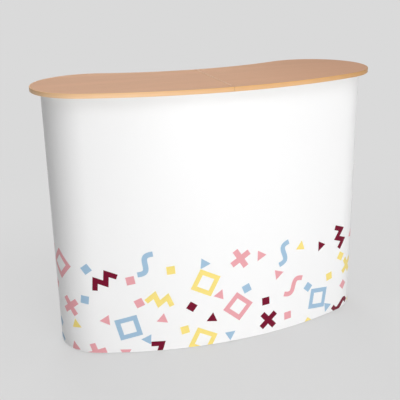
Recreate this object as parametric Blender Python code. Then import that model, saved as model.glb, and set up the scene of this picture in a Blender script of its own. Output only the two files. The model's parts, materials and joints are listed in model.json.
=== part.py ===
"""Exhibition counter: a folding worktop on a curved scissor frame, dressed with one wrap-round panel.

Metres, +Z up. X runs along the counter, the front faces -Y and the floor is at Z = 0.
The origin is on the floor, under the middle of the worktop's outline.
"""
import math

import bmesh
import bpy
from mathutils import Matrix, Vector

# Clearances, and how far a cut runs past a face or a joined shape reaches into its neighbour
gap = 0.0003
cut_overrun = 0.002
join_depth = 0.002

# Whole counter
counter_height = 0.970
front_overhang = 0.038
end_overhang = 0.0355

# Worktop: two boards with an edging strip, a kidney outline of four arcs
worktop_thickness = 0.016
worktop_front_radius = 1.420
worktop_end_radius = 0.212
worktop_rear_radius = 0.954
seam_gap = 0.0006
edging_thickness = 0.003
edging_chamfer = 0.002

# Worktop hinge, let into the seam
hinge_end_inset = 0.030
hinge_axis_rise = 0.0005
knuckle_radius = 0.0013
knuckle_count = 7
hinge_pin_radius = 0.0006
leaf_thickness = 0.001
leaf_height = 0.0125

# Panel: a thin sheet round the front and both ends
panel_front_radius = 1.404
panel_thickness = 0.001
panel_floor_gap = 0.006
panel_top_gap = 0.003
hanger_thickness = 0.004
hanger_height = 0.018

# Scissor frame
frame_depth = 0.280
tube_across_flats = 0.012
tongue_thickness = 0.005
tongue_chamfer = 0.001
tongue_length = 0.016
tongue_tip_length = 0.0035
taper_length = 0.010
rivet_radius = 0.002
rivet_head_radius = 0.0045
rivet_head_height = 0.0015

# Hubs: flat plastic bodies with a slot in each side and a peg on the outer face
hub_half_width = 0.027
hub_thickness = 0.022
hub_pivot_radius = 0.019
hub_pin_radius = 0.002
slot_side_clearance = 0.0004
slot_floor_clearance = 0.001
peg_radius = 0.003
peg_head_radius = 0.005
peg_head_height = 0.002

# Channel bars, with a raised magnetic band down the outer face
bar_width = 0.024
bar_depth = 0.012
bar_wall = 0.002
bar_floor_gap = 0.028
band_width = 0.020
band_height = 0.0015
hook_height = 0.022
hook_clearance = 0.0003

# Feet under the bottom hubs, posts on the top hubs; the outer posts have a spigot that enters the worktop
foot_height = 0.026
foot_pad_height = 0.010
foot_pad_radius = 0.018
foot_stem_radius = 0.009
post_height = 0.020
post_radius = 0.010
spigot_radius = 0.006
spigot_height = 0.007
spigot_clearance = 0.0015

# Shelves and their saddles
shelf_thickness = 0.012
shelf_column_gap = 0.040
shelf_front_gap = 0.030
shelf_rear_gap = 0.016
saddle_seat_height = 0.006
saddle_width = 0.022
saddle_length = 0.020
saddle_groove_depth = 0.004
saddle_groove_clearance = 0.0005
saddle_place_shares = (0.22, 0.78)

# Locking arms
lock_inner_offset = 0.011
lock_plate_thickness = 0.003
lock_bracket_depth = 0.016
lock_bracket_half_height = 0.007
lock_stub_radius = 0.0025
lock_stub_head_radius = 0.004
lock_stub_head_height = 0.0015
lock_arm_thickness = 0.004
lock_arm_half_height = 0.005
lock_arm_tip_length = 0.0065
lock_grip_height = 0.008

# Numbers of flat steps in the curved surfaces
front_steps = 14
end_steps = 24
rear_steps = 12
panel_front_steps = 26
panel_end_steps = 22
round_sides = 12
medium_sides = 8
small_sides = 6
lock_eye_steps = 4

# Edges turn sharp where two faces meet at more than this
body_sharp_angle = math.radians(40)
tube_sharp_angle = math.radians(50)

# Heights worked out from the sizes above
worktop_bottom = counter_height - worktop_thickness
hinge_axis_height = counter_height + hinge_axis_rise
top_row = worktop_bottom - gap - post_height - hub_half_width
bottom_row = foot_height + hub_half_width
row_spacing = (top_row - bottom_row) / 2
row_heights = [bottom_row + row_spacing * row for row in range(3)]
row_names = ("bottom", "middle", "top")

# Stack from the panel's inner face back to the hub's middle
hub_half_thickness = hub_thickness / 2
bar_back = hub_half_thickness + gap
bar_face = bar_back + bar_depth
band_face = bar_face + band_height
panel_stack = band_face + gap
front_radius = panel_front_radius - panel_thickness - panel_stack
rear_radius = front_radius - frame_depth
panel_rear_radius = rear_radius - panel_stack - panel_thickness

# Column angle: level and upright struts have one length, so that the frame can fold.
# The level scissor is a trapezoid, and its parallel sides times each other make the upright rise squared.
upright_rise = row_spacing - 2 * hub_pivot_radius
strut_length = math.hypot(frame_depth, upright_rise)
quarter_square = upright_rise**2 / 4
angle_a = front_radius * rear_radius - quarter_square
angle_b = hub_pivot_radius * (front_radius + rear_radius)
angle_c = hub_pivot_radius**2 - quarter_square
half_angle_tangent = (angle_b + math.sqrt(angle_b**2 - 4 * angle_a * angle_c)) / (2 * angle_a)
half_column_angle = math.atan(half_angle_tangent)
column_angle = 2 * half_column_angle


def pivot_chord(radius):
    """Distance between facing pivots of neighbouring hubs on one circle."""
    return 2 * (radius * math.sin(half_column_angle) - hub_pivot_radius * math.cos(half_column_angle))


front_chord = pivot_chord(front_radius)
rear_chord = pivot_chord(rear_radius)
level_rivet_place = strut_length * front_chord / (front_chord + rear_chord)
pair_offset = tube_across_flats / 2 + gap / 2
columns = {"left": -1, "centre": 0, "right": 1}
bays = {"left": -1, "right": 0}

# Panel ends: half rounds on the circle midway between its front and rear faces
panel_end_radius = (panel_front_radius - panel_rear_radius) / 2
panel_middle_radius = panel_front_radius - panel_end_radius
panel_end_angle = column_angle + math.atan(bar_width / 2 / front_radius)
panel_half_width = panel_middle_radius * math.sin(panel_end_angle) + panel_end_radius

# Worktop outline: each end circle touches the front arc from inside and the rear arc from outside
worktop_half_width = panel_half_width + end_overhang
end_centre_x = worktop_half_width - worktop_end_radius
front_reach = math.sqrt((worktop_front_radius - worktop_end_radius) ** 2 - end_centre_x**2)
rear_reach = math.sqrt((worktop_rear_radius + worktop_end_radius) ** 2 - end_centre_x**2)
worktop_depth = worktop_front_radius - front_reach + worktop_end_radius
worktop_front = -worktop_depth / 2
front_centre_y = worktop_front + worktop_front_radius
end_centre_y = front_centre_y - front_reach
rear_centre_y = end_centre_y + rear_reach
frame_centre_y = worktop_front + front_overhang + panel_front_radius


def finish(name, colour, roughness, metallic=0.0):
    """Material with one plain Principled surface."""
    material = bpy.data.materials.new(name)
    material.use_nodes = True
    surface = material.node_tree.nodes["Principled BSDF"]
    surface.inputs["Base Color"].default_value = (*colour, 1.0)
    surface.inputs["Roughness"].default_value = roughness
    surface.inputs["Metallic"].default_value = metallic
    material.diffuse_color = (*colour, 1.0)
    return material


def lofted(rings):
    """Mesh through rings of points, capped at both ends."""
    shape = bmesh.new()
    loops = [[shape.verts.new(point) for point in ring] for ring in rings]
    for near, far in zip(loops, loops[1:]):
        for i, corner in enumerate(near):
            j = (i + 1) % len(near)
            shape.faces.new((corner, near[j], far[j], far[i]))
    shape.faces.new(reversed(loops[0]))
    shape.faces.new(loops[-1])
    bmesh.ops.recalc_face_normals(shape, faces=shape.faces)
    mesh = bpy.data.meshes.new("shape")
    shape.to_mesh(mesh)
    shape.free()
    return mesh


def prism(outline, low, high):
    """Outline in X and Y, raised from low to high along Z."""
    return lofted([[(x, y, z) for x, y in outline] for z in (low, high)])


def box(low, high):
    """Block between two opposite corners."""
    outline = [(low[0], low[1]), (high[0], low[1]), (high[0], high[1]), (low[0], high[1])]
    return prism(outline, low[2], high[2])


def circle(radius, height, sides):
    """Ring of points round the Z axis."""
    turn = 2 * math.pi / sides
    return [(radius * math.cos(turn * i), radius * math.sin(turn * i), height) for i in range(sides)]


def turned(profile, sides):
    """Solid turned about the Z axis from pairs of radius and height."""
    return lofted([circle(radius, height, sides) for radius, height in profile])


def rod(radius, low, high, sides=small_sides):
    """Plain round bar along Z."""
    return turned([(radius, low), (radius, high)], sides)


def moved(mesh, matrix):
    """Copy of a mesh in another place."""
    copy = mesh.copy()
    copy.transform(matrix)
    return copy


def merged(meshes):
    """One mesh that holds several separate bodies."""
    shape = bmesh.new()
    for mesh in meshes:
        shape.from_mesh(mesh)
    whole = bpy.data.meshes.new("group")
    shape.to_mesh(whole)
    shape.free()
    return whole


def combined(base, tools, operation):
    """Base mesh joined with the tools, or cut by them."""
    scene = bpy.context.scene.collection.objects
    body = bpy.data.objects.new("body", base)
    cutter = bpy.data.objects.new("cutter", merged(tools))
    scene.link(body)
    scene.link(cutter)
    modifier = body.modifiers.new("combine", "BOOLEAN")
    modifier.operation = operation
    modifier.object = cutter
    graph = bpy.context.evaluated_depsgraph_get()
    result = bpy.data.meshes.new_from_object(body.evaluated_get(graph))
    bpy.data.objects.remove(body)
    bpy.data.objects.remove(cutter)
    return result


def place(name, mesh, material, matrix=None, parent=None, sharp_angle=body_sharp_angle):
    """Named object in the world, riding on its parent if it has one."""
    mesh.name = name
    mesh.materials.clear()
    mesh.materials.append(material)
    mesh.shade_smooth()
    mesh.set_sharp_from_angle(angle=sharp_angle)
    piece = bpy.data.objects.new(name, mesh)
    bpy.context.scene.collection.objects.link(piece)
    world = matrix or Matrix.Identity(4)
    if parent:
        piece.parent = parent
        piece.matrix_basis = Matrix.Translation(parent.location).inverted() @ world
    else:
        piece.matrix_basis = world
    return piece


def axis_empty(name, location):
    """Empty on a joint's axis, which carries the pieces that move there."""
    empty = bpy.data.objects.new(name, None)
    empty.location = location
    bpy.context.scene.collection.objects.link(empty)
    return empty


def along_x(mesh):
    """Turn a piece that lies along Z so that it lies along X."""
    return moved(mesh, Matrix.Rotation(math.pi / 2, 4, "Y"))


def along_y(mesh):
    """Turn a piece that lies along Z so that it lies along Y."""
    return moved(mesh, Matrix.Rotation(-math.pi / 2, 4, "X"))


def shifted(mesh, x=0.0, y=0.0, z=0.0):
    """Copy of a mesh moved by the given steps."""
    return moved(mesh, Matrix.Translation((x, y, z)))


def arc(centre, radius, start, end, steps):
    """Points along an arc, both ends included."""
    angles = [start + (end - start) * i / steps for i in range(steps + 1)]
    return [(centre[0] + radius * math.cos(a), centre[1] + radius * math.sin(a)) for a in angles]


def frame_place(column, radius, height):
    """Place in a column: X along the curve, Y away from the front, Z up."""
    angle = column * column_angle
    centre = Vector((radius * math.sin(angle), frame_centre_y - radius * math.cos(angle), height))
    return Matrix.Translation(centre) @ Matrix.Rotation(angle, 4, "Z")


def half_outline(inset):
    """Right half of the worktop's outline, from the seam's front end to its rear end."""
    half_seam = seam_gap / 2
    front = worktop_front_radius - inset
    rear = worktop_rear_radius + inset
    down = -math.pi / 2
    front_turn = math.atan2(end_centre_x, front_reach)
    rear_turn = math.atan2(end_centre_x, rear_reach)
    seam_front = down + math.asin(half_seam / front)
    seam_rear = down + math.asin(half_seam / rear)
    points = arc((0, front_centre_y), front, seam_front, down + front_turn, front_steps)
    points += arc(
        (end_centre_x, end_centre_y), worktop_end_radius - inset,
        down + front_turn, math.pi / 2 + rear_turn, end_steps,
    )[1:]
    points += arc((0, rear_centre_y), rear, down + rear_turn, seam_rear, rear_steps)[1:]
    return points


def mirrored(mesh):
    """Copy of a mesh on the other side of the seam, with its faces still pointing out."""
    copy = moved(mesh, Matrix.Scale(-1, 4, (1, 0, 0)))
    copy.flip_normals()
    return copy


hinge_front = worktop_front + hinge_end_inset
seam_rear_end = rear_centre_y - worktop_rear_radius
hinge_rear = seam_rear_end - hinge_end_inset
knuckle_length = (hinge_rear - hinge_front) / knuckle_count
rebate_depth = gap + leaf_thickness + gap


def worktop_board():
    """Right-hand board, rebated for the hinge leaf, with a blind socket for each outer post's spigot."""
    outline = half_outline(edging_thickness + gap)
    outline += [
        (seam_gap / 2, hinge_rear + gap), (rebate_depth, hinge_rear + gap),
        (rebate_depth, hinge_front - gap), (seam_gap / 2, hinge_front - gap),
    ]
    board = prism(outline, worktop_bottom, counter_height)
    depth = spigot_height + spigot_clearance
    socket = rod(spigot_radius + spigot_clearance, -cut_overrun, depth, round_sides)
    cuts = [moved(socket, frame_place(1, radius, worktop_bottom)) for radius in (front_radius, rear_radius)]
    return combined(board, cuts, "DIFFERENCE")


def edging():
    """Right-hand edging strip, with its two outer corners eased."""
    section = [
        (edging_thickness, 0), (edging_chamfer, 0), (0, edging_chamfer),
        (0, worktop_thickness - edging_chamfer), (edging_chamfer, worktop_thickness),
        (edging_thickness, worktop_thickness),
    ]
    lines = [half_outline(inset) for inset, _ in section]
    rings = []
    for points in zip(*lines):
        rings.append([(x, y, worktop_bottom + rise) for (x, y), (_, rise) in zip(points, section)])
    return lofted(rings)


def hinge_leaf(first_knuckle):
    """Right-hand leaf: a plate with every second knuckle, bored for the pin."""
    top = hinge_axis_height
    bottom = counter_height - leaf_height
    relief = top - knuckle_radius - gap
    inner = gap
    outer = gap + leaf_thickness
    parts = []
    for i in range(first_knuckle, knuckle_count, 2):
        low = hinge_front + knuckle_length * i + gap / 2
        high = low + knuckle_length - gap
        barrel = along_y(rod(knuckle_radius, low, high, medium_sides))
        tab = box((inner, low, relief - join_depth), (outer, high, top))
        parts.append(combined(shifted(barrel, z=top), [tab], "UNION"))
    plate = box((inner, hinge_front, bottom), (outer, hinge_rear, relief))
    leaf = combined(plate, parts, "UNION")
    length = hinge_rear - hinge_front
    bore = along_y(rod(hinge_pin_radius + gap, -cut_overrun, length + cut_overrun))
    return combined(leaf, [shifted(bore, y=hinge_front, z=top)], "DIFFERENCE")


def build_worktop(finishes):
    """Both halves of the worktop, the right one folding on the seam hinge."""
    lift = axis_empty("worktop_lift_axis", (0, 0, worktop_bottom))
    fold = axis_empty("worktop_fold_axis", (0, 0, hinge_axis_height))
    board = worktop_board()
    strip = edging()
    place("worktop_right", board, finishes["worktop"], parent=fold)
    place("edging_right", strip, finishes["edging"], parent=fold)
    place("hinge_leaf_right", hinge_leaf(1), finishes["brass"], parent=fold, sharp_angle=tube_sharp_angle)
    place("worktop_left", mirrored(board), finishes["worktop"], parent=lift)
    place("edging_left", mirrored(strip), finishes["edging"], parent=lift)
    leaf = mirrored(hinge_leaf(0))
    place("hinge_leaf_left", leaf, finishes["brass"], parent=lift, sharp_angle=tube_sharp_angle)
    pin = along_y(rod(hinge_pin_radius, hinge_front, hinge_rear))
    place("hinge_pin", shifted(pin, z=hinge_axis_height), finishes["steel"], parent=lift)


def hub_body():
    """Hub with a slot in each side, a cross pin in each slot and a headed peg on its outer face."""
    side = hub_half_width
    corner = side * math.tan(math.pi / 8)
    low = pair_offset - tongue_thickness / 2 - slot_side_clearance
    high = pair_offset + tongue_thickness / 2 + slot_side_clearance
    floor = hub_pivot_radius - tube_across_flats / 2 - slot_floor_clearance
    right = [(side, -corner), (side, low), (floor, low), (floor, high), (side, high), (side, corner)]
    upper = [(z, x) for x, z in reversed(right)]
    half = right + upper
    outline = half + [(-x, -z) for x, z in half]
    body = prism(outline, -hub_half_thickness, hub_half_thickness)
    body = moved(body, Matrix.Rotation(math.pi / 2, 4, "X"))
    upright_pin = rod(hub_pin_radius, low - join_depth, high + join_depth)
    level_pin = along_x(upright_pin)
    pins = [shifted(upright_pin, x=hub_pivot_radius), shifted(level_pin, z=hub_pivot_radius)]
    turn = Matrix.Rotation(math.pi, 4, "Y")
    pins += [moved(pin, turn) for pin in pins]
    peg_end = hub_half_thickness + gap + bar_wall + gap
    profile = [
        (peg_radius, hub_half_thickness - join_depth), (peg_radius, peg_end),
        (peg_head_radius, peg_end), (peg_head_radius, peg_end + peg_head_height),
    ]
    peg = moved(turned(profile, medium_sides), Matrix.Rotation(math.pi / 2, 4, "X"))
    return combined(body, pins + [peg], "UNION")


def hub_foot():
    """Rubber-soled foot under a bottom hub, whose centre is the origin."""
    floor = -bottom_row
    top = -hub_half_width + join_depth
    profile = [
        (foot_pad_radius, floor), (foot_pad_radius, floor + foot_pad_height),
        (foot_stem_radius, floor + foot_pad_height), (foot_stem_radius, top),
    ]
    return turned(profile, round_sides)


def hub_post(with_spigot):
    """Post on a top hub, whose centre is the origin; the spigot enters the worktop's socket."""
    top = hub_half_width + post_height
    profile = [(post_radius, hub_half_width - join_depth), (post_radius, top)]
    if with_spigot:
        profile += [(spigot_radius, top), (spigot_radius, top + spigot_height)]
    return turned(profile, round_sides)


def layer_place(layer, column, height):
    """Place of a hub or bar, with its outer face turned to the front or to the rear."""
    radius = front_radius if layer == "front" else rear_radius
    matrix = frame_place(column, radius, height)
    if layer == "rear":
        matrix = matrix @ Matrix.Rotation(math.pi, 4, "Z")
    return matrix


def build_hubs(finishes):
    """Three hubs in each column, front and rear; the bottom ones have feet and the top ones posts."""
    plain = hub_body()
    footed = combined(plain, [hub_foot()], "UNION")
    topped = combined(plain, [hub_post(with_spigot=True)], "UNION")
    topped_centre = combined(plain, [hub_post(with_spigot=False)], "UNION")
    for layer in ("front", "rear"):
        stub = lock_bracket() if layer == "front" else lock_catch()
        for name, column in columns.items():
            meshes = [footed, plain, topped]
            if name == "centre":
                meshes = [combined(footed, [stub], "UNION"), combined(plain, [stub], "UNION"), topped_centre]
            for row_name, height, mesh in zip(row_names, row_heights, meshes):
                matrix = layer_place(layer, column, height)
                place(f"hub_{row_name}_{layer}_{name}", mesh, finishes["plastic"], matrix)


def strut_mesh(rivet_place, riveted):
    """Tube along X with flattened ends and an eye at each end; the eyes' axes are along Z.

    One strut of a pair carries the rivet of their crossing, the other the hole that it turns in.
    """
    half = tube_across_flats / 2
    facet = half * math.tan(math.pi / 8)
    tongue_half = tongue_thickness / 2
    tube = [(half, facet), (facet, half), (-facet, half), (-half, facet),
            (-half, -facet), (-facet, -half), (facet, -half), (half, -facet)]

    def tongue(width):
        flat = width - tongue_chamfer
        step = tongue_half - tongue_chamfer
        return [(width, step), (flat, tongue_half), (-flat, tongue_half), (-width, step),
                (-width, -step), (-flat, -tongue_half), (flat, -tongue_half), (width, -step)]

    near = [
        (-half, tongue(tongue_tip_length)), (-tongue_tip_length, tongue(half)),
        (tongue_length, tongue(half)), (tongue_length + taper_length, tube),
    ]
    far = [(strut_length - x, section) for x, section in reversed(near)]
    body = lofted([[(x, y, z) for y, z in section] for x, section in near + far])
    eye = rod(hub_pin_radius + gap, -half, half)
    eyes = [eye, shifted(eye, x=strut_length)]
    if riveted:
        return combined(combined(body, eyes, "DIFFERENCE"), [shifted(rivet_mesh(), x=rivet_place)], "UNION")
    rivet_hole = rod(rivet_radius + gap, -tube_across_flats, tube_across_flats)
    return combined(body, eyes + [shifted(rivet_hole, x=rivet_place)], "DIFFERENCE")


def rivet_mesh():
    """Rivet along Z, through a strut at the origin and its partner below, with a head on each side."""
    half = tube_across_flats / 2
    far = 2 * pair_offset + half + gap
    profile = [
        (rivet_head_radius, -far - rivet_head_height), (rivet_head_radius, -far), (rivet_radius, -far),
        (rivet_radius, 0), (rivet_head_radius, 0), (rivet_head_radius, half + rivet_head_height),
    ]
    return turned(profile, small_sides)


def between(start, end, pin_axis):
    """Place for a strut from one pivot to another, its eyes' axes along pin_axis."""
    x_axis = (end - start).normalized()
    y_axis = pin_axis.cross(x_axis)
    matrix = Matrix((x_axis, y_axis, pin_axis)).transposed().to_4x4()
    return Matrix.Translation(start) @ matrix


def level_strut(bay, row, kind):
    """Place of a level strut; kind a runs from the front left hub, kind b from the rear left one."""
    near, far = (front_radius, rear_radius) if kind == "a" else (rear_radius, front_radius)
    offset = pair_offset if kind == "a" else -pair_offset
    start = frame_place(bay, near, row_heights[row]) @ Vector((hub_pivot_radius, 0, offset))
    end = frame_place(bay + 1, far, row_heights[row]) @ Vector((-hub_pivot_radius, 0, offset))
    return between(start, end, Vector((0, 0, 1)))


def upright_strut(column, row, kind):
    """Place of an upright strut; kind a rises from the front hub, kind b from the rear one."""
    near, far = (front_radius, rear_radius) if kind == "a" else (rear_radius, front_radius)
    offset = pair_offset if kind == "a" else -pair_offset
    lower = frame_place(column, near, row_heights[row])
    upper = frame_place(column, far, row_heights[row + 1])
    tangent = lower.to_3x3() @ Vector((1, 0, 0))
    start = lower @ Vector((offset, 0, hub_pivot_radius))
    end = upper @ Vector((offset, 0, -hub_pivot_radius))
    return between(start, end, tangent)


def build_struts(finishes):
    """Level struts in both bays and upright struts in all columns."""
    places = {"a": level_rivet_place, "b": strut_length - level_rivet_place}
    level = {kind: strut_mesh(where, kind == "a") for kind, where in places.items()}
    upright = {kind: strut_mesh(strut_length / 2, kind == "a") for kind in ("a", "b")}
    for row, row_name in enumerate(row_names):
        for bay_name, bay in bays.items():
            for kind, mesh in level.items():
                matrix = level_strut(bay, row, kind)
                name = f"level_strut_{row_name}_{bay_name}_{kind}"
                place(name, mesh, finishes["tube"], matrix, sharp_angle=tube_sharp_angle)
    for row, level_name in enumerate(("lower", "upper")):
        for column_name, column in columns.items():
            for kind, mesh in upright.items():
                matrix = upright_strut(column, row, kind)
                name = f"upright_strut_{level_name}_{column_name}_{kind}"
                place(name, mesh, finishes["tube"], matrix, sharp_angle=tube_sharp_angle)


bar_top = worktop_bottom - panel_top_gap - hanger_height - gap


def bar_mesh():
    """Channel open to the hubs, with a hook plate over each hub's peg; Y runs away from the outer face."""
    half = bar_width / 2
    inner = half - bar_wall
    outer_face = -bar_face
    back = -bar_back
    band = band_width / 2
    outline = [
        (-half, outer_face), (-band, outer_face), (-band, -band_face), (band, -band_face),
        (band, outer_face), (half, outer_face), (half, back), (inner, back),
        (inner, outer_face + bar_wall), (-inner, outer_face + bar_wall), (-inner, back), (-half, back),
    ]
    channel = prism(outline, bar_floor_gap, bar_top)
    slot = peg_radius + hook_clearance
    hooks = []
    for height in row_heights:
        low = height - hook_height / 2
        high = height + hook_height / 2
        shape = [
            (-half + bar_wall / 2, low), (-slot, low), (-slot, height + slot), (slot, height + slot),
            (slot, low), (half - bar_wall / 2, low), (half - bar_wall / 2, high), (-half + bar_wall / 2, high),
        ]
        plate = moved(prism(shape, 0, bar_wall), Matrix.Rotation(math.pi / 2, 4, "X"))
        hooks.append(shifted(plate, y=back))
    return combined(channel, hooks, "UNION")


def panel_line(inset):
    """Panel's line from its left rear edge round the front to its right rear edge, inset from its outer face."""
    down = -math.pi / 2
    rear_edge = column_angle - math.atan(bar_width / 2 / rear_radius)
    end_x = panel_middle_radius * math.sin(panel_end_angle)
    end_y = frame_centre_y - panel_middle_radius * math.cos(panel_end_angle)
    centre = (0, frame_centre_y)
    front = arc(
        centre, panel_front_radius - inset, down, down + panel_end_angle, panel_front_steps // 2,
    )
    end_turn = down + panel_end_angle
    end = arc((end_x, end_y), panel_end_radius - inset, end_turn, end_turn + math.pi, panel_end_steps)
    rear = arc(centre, panel_rear_radius + inset, end_turn, down + rear_edge, 1)
    right = front + end[1:] + rear[1:]
    left = [(-x, y) for x, y in reversed(right)]
    return left + right[1:]


def strip(outer_inset, inner_inset, low, high, line):
    """Upright strip between two insets of a line."""
    rings = []
    for (x0, y0), (x1, y1) in zip(line(outer_inset), line(inner_inset)):
        rings.append([(x0, y0, low), (x1, y1, low), (x1, y1, high), (x0, y0, high)])
    return lofted(rings)


def hanger_line(inset):
    """Front part of the panel's line, between its two ends."""
    down = -math.pi / 2
    radius = panel_front_radius - inset
    span = panel_end_angle
    return arc((0, frame_centre_y), radius, down - span, down + span, panel_front_steps)


def build_panel(finishes):
    """Wrap panel with its hanger, and the channel bars that it holds to."""
    panel_top = worktop_bottom - panel_top_gap
    sheet = strip(0, panel_thickness, panel_floor_gap, panel_top, panel_line)
    place("panel", sheet, finishes["panel"])
    inner = panel_thickness + gap
    hanger = strip(inner, inner + hanger_thickness, bar_top + gap, panel_top, hanger_line)
    place("panel_hanger", hanger, finishes["plastic"])
    bar = bar_mesh()
    for layer, names in (("front", ("left", "centre", "right")), ("rear", ("left", "right"))):
        for name in names:
            place(f"bar_{layer}_{name}", bar, finishes["bar"], layer_place(layer, columns[name], 0))


def build_shelves(finishes):
    """Shelf in each bay, on saddles that straddle the middle level struts."""
    tube_top = tube_across_flats / 2
    shelf_bottom = row_heights[1] + pair_offset + tube_top + gap + saddle_seat_height
    tangent = math.tan(half_column_angle)
    for name, bay in bays.items():
        front = front_radius * math.cos(half_column_angle) - shelf_front_gap
        rear = rear_radius * math.cos(half_column_angle) + shelf_rear_gap
        inset = shelf_column_gap / math.cos(half_column_angle)
        front_half = front * tangent - inset
        rear_half = rear * tangent - inset
        outline = [(-front_half, -front), (front_half, -front), (rear_half, -rear), (-rear_half, -rear)]
        angle = (bay + 0.5) * column_angle
        to_bay = Matrix.Translation((0, frame_centre_y, 0)) @ Matrix.Rotation(angle, 4, "Z")
        board = moved(prism(outline, 0, shelf_thickness), to_bay)
        saddles = []
        for kind in ("a", "b"):
            seat = (pair_offset if kind == "a" else -pair_offset) + tube_top + gap + row_heights[1]
            for share in saddle_place_shares:
                spot = level_strut(bay, 1, kind) @ Matrix.Translation((strut_length * share, 0, 0))
                spot.translation.z = 0
                saddles.append(moved(saddle_mesh(seat, shelf_bottom + join_depth), spot))
        shelf = combined(shifted(board, z=shelf_bottom), saddles, "UNION")
        lift = axis_empty(f"shelf_{name}_lift_axis", (0, 0, shelf_bottom))
        place(f"shelf_{name}", shelf, finishes["shelf"], parent=lift)


def saddle_mesh(seat, top):
    """Block with a groove along X that fits over a strut."""
    groove = tube_across_flats / 2 + saddle_groove_clearance
    half = saddle_width / 2
    bottom = seat - saddle_groove_depth
    outline = [(-half, bottom), (-groove, bottom), (-groove, seat), (groove, seat), (groove, bottom),
               (half, bottom), (half, top), (-half, top)]
    ends = [-saddle_length / 2, saddle_length / 2]
    return lofted([[(x, y, z) for y, z in outline] for x in ends])


lock_arm_inner = lock_inner_offset + lock_plate_thickness + gap
lock_stub_end = lock_arm_inner + lock_arm_thickness + gap
lock_stub_reach = lock_bracket_depth / 2


def lock_bracket():
    """Plate behind a hub with a headed stub along X for the locking arm; Y runs away from the hub's face."""
    near = hub_half_thickness - join_depth
    tall = lock_bracket_half_height
    plate = box(
        (lock_inner_offset, near, -tall),
        (lock_inner_offset + lock_plate_thickness, hub_half_thickness + lock_bracket_depth, tall),
    )
    profile = [
        (lock_stub_radius, lock_inner_offset + lock_plate_thickness / 2), (lock_stub_radius, lock_stub_end),
        (lock_stub_head_radius, lock_stub_end),
        (lock_stub_head_radius, lock_stub_end + lock_stub_head_height),
    ]
    stub = shifted(along_x(turned(profile, medium_sides)), y=hub_half_thickness + lock_stub_reach)
    return combined(plate, [stub], "UNION")


def lock_catch():
    """Bracket of the rear hub, on the same side as the front one once the hub is turned round."""
    return mirrored(lock_bracket())


def lock_arm():
    """Arm along Y from its pivot eye at the origin to a hook, open below, over the other stub."""
    reach = frame_depth - 2 * (hub_half_thickness + lock_stub_reach)
    half = lock_arm_half_height
    slot = lock_stub_radius + gap
    tip = reach + lock_arm_tip_length
    outline = arc((0, 0), half, math.pi / 2, 3 * math.pi / 2, lock_eye_steps)
    outline += [
        (reach - slot, -half), (reach - slot, slot), (reach + slot, slot), (reach + slot, -half),
        (tip, -half), (tip, half + lock_grip_height), (tip - lock_plate_thickness, half + lock_grip_height),
        (tip - lock_plate_thickness, half),
    ]
    inner = lock_arm_inner
    outer = inner + lock_arm_thickness
    body = lofted([[(x, y, z) for y, z in outline] for x in (inner, outer)])
    eye = rod(lock_stub_radius + gap, inner - cut_overrun, outer + cut_overrun, medium_sides)
    return combined(body, [along_x(eye)], "DIFFERENCE")


def build_locks(finishes):
    """Locking arms of the middle column, in its two lower rows."""
    arm = lock_arm()
    for row, name in ((0, "lower"), (1, "middle")):
        front = frame_place(0, front_radius, row_heights[row])
        pivot = front @ Matrix.Translation((0, hub_half_thickness + lock_stub_reach, 0))
        place(f"lock_arm_{name}", arm, finishes["lock"], pivot)


def build():
    """Whole counter, from an empty scene."""
    for old in list(bpy.data.objects):
        bpy.data.objects.remove(old)
    finishes = {
        "worktop": finish("worktop_laminate", (0.52, 0.34, 0.22), 0.45),
        "edging": finish("edging_strip", (0.78, 0.55, 0.31), 0.5),
        "panel": finish("panel_print", (0.95, 0.95, 0.95), 0.45),
        "tube": finish("tube_aluminium", (0.80, 0.81, 0.82), 0.35, 1.0),
        "bar": finish("bar_aluminium", (0.72, 0.73, 0.74), 0.4, 1.0),
        "steel": finish("steel", (0.55, 0.55, 0.56), 0.3, 1.0),
        "brass": finish("brass", (0.78, 0.60, 0.30), 0.3, 1.0),
        "plastic": finish("hub_plastic", (0.03, 0.03, 0.035), 0.5),
        "lock": finish("lock_plastic", (0.45, 0.46, 0.48), 0.5),
        "shelf": finish("shelf_board", (0.60, 0.61, 0.62), 0.55),
    }
    build_worktop(finishes)
    build_hubs(finishes)
    build_struts(finishes)
    build_panel(finishes)
    build_shelves(finishes)
    build_locks(finishes)


build()
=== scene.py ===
"""Looks of the exhibition counter: finishes, fine meshes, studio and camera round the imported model.

Metres, +Z up. X runs along the counter, the front faces -Y and the floor is at Z = 0.
"""
from __future__ import annotations

import json
import logging
import math
import random
from dataclasses import dataclass, field
from enum import Enum
from typing import Any, Iterable, Sequence

import bmesh
import bpy
from mathutils import Matrix, Vector

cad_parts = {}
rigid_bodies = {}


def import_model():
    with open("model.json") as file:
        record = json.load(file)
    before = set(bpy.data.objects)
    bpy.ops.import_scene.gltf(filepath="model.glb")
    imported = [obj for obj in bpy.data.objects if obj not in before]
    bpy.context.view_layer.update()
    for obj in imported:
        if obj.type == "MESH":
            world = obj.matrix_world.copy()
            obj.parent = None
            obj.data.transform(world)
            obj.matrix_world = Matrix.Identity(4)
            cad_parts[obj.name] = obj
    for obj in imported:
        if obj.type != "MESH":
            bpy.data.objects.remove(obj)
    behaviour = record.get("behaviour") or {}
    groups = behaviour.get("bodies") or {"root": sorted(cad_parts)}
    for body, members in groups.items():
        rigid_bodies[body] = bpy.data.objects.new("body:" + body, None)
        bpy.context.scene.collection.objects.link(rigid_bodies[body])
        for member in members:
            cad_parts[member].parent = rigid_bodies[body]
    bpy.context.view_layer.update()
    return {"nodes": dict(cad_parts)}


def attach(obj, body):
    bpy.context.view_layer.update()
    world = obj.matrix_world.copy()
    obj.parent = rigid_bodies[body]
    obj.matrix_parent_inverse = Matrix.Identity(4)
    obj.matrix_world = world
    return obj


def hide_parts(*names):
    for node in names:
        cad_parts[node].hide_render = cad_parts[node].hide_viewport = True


log = logging.getLogger("counter")

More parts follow.
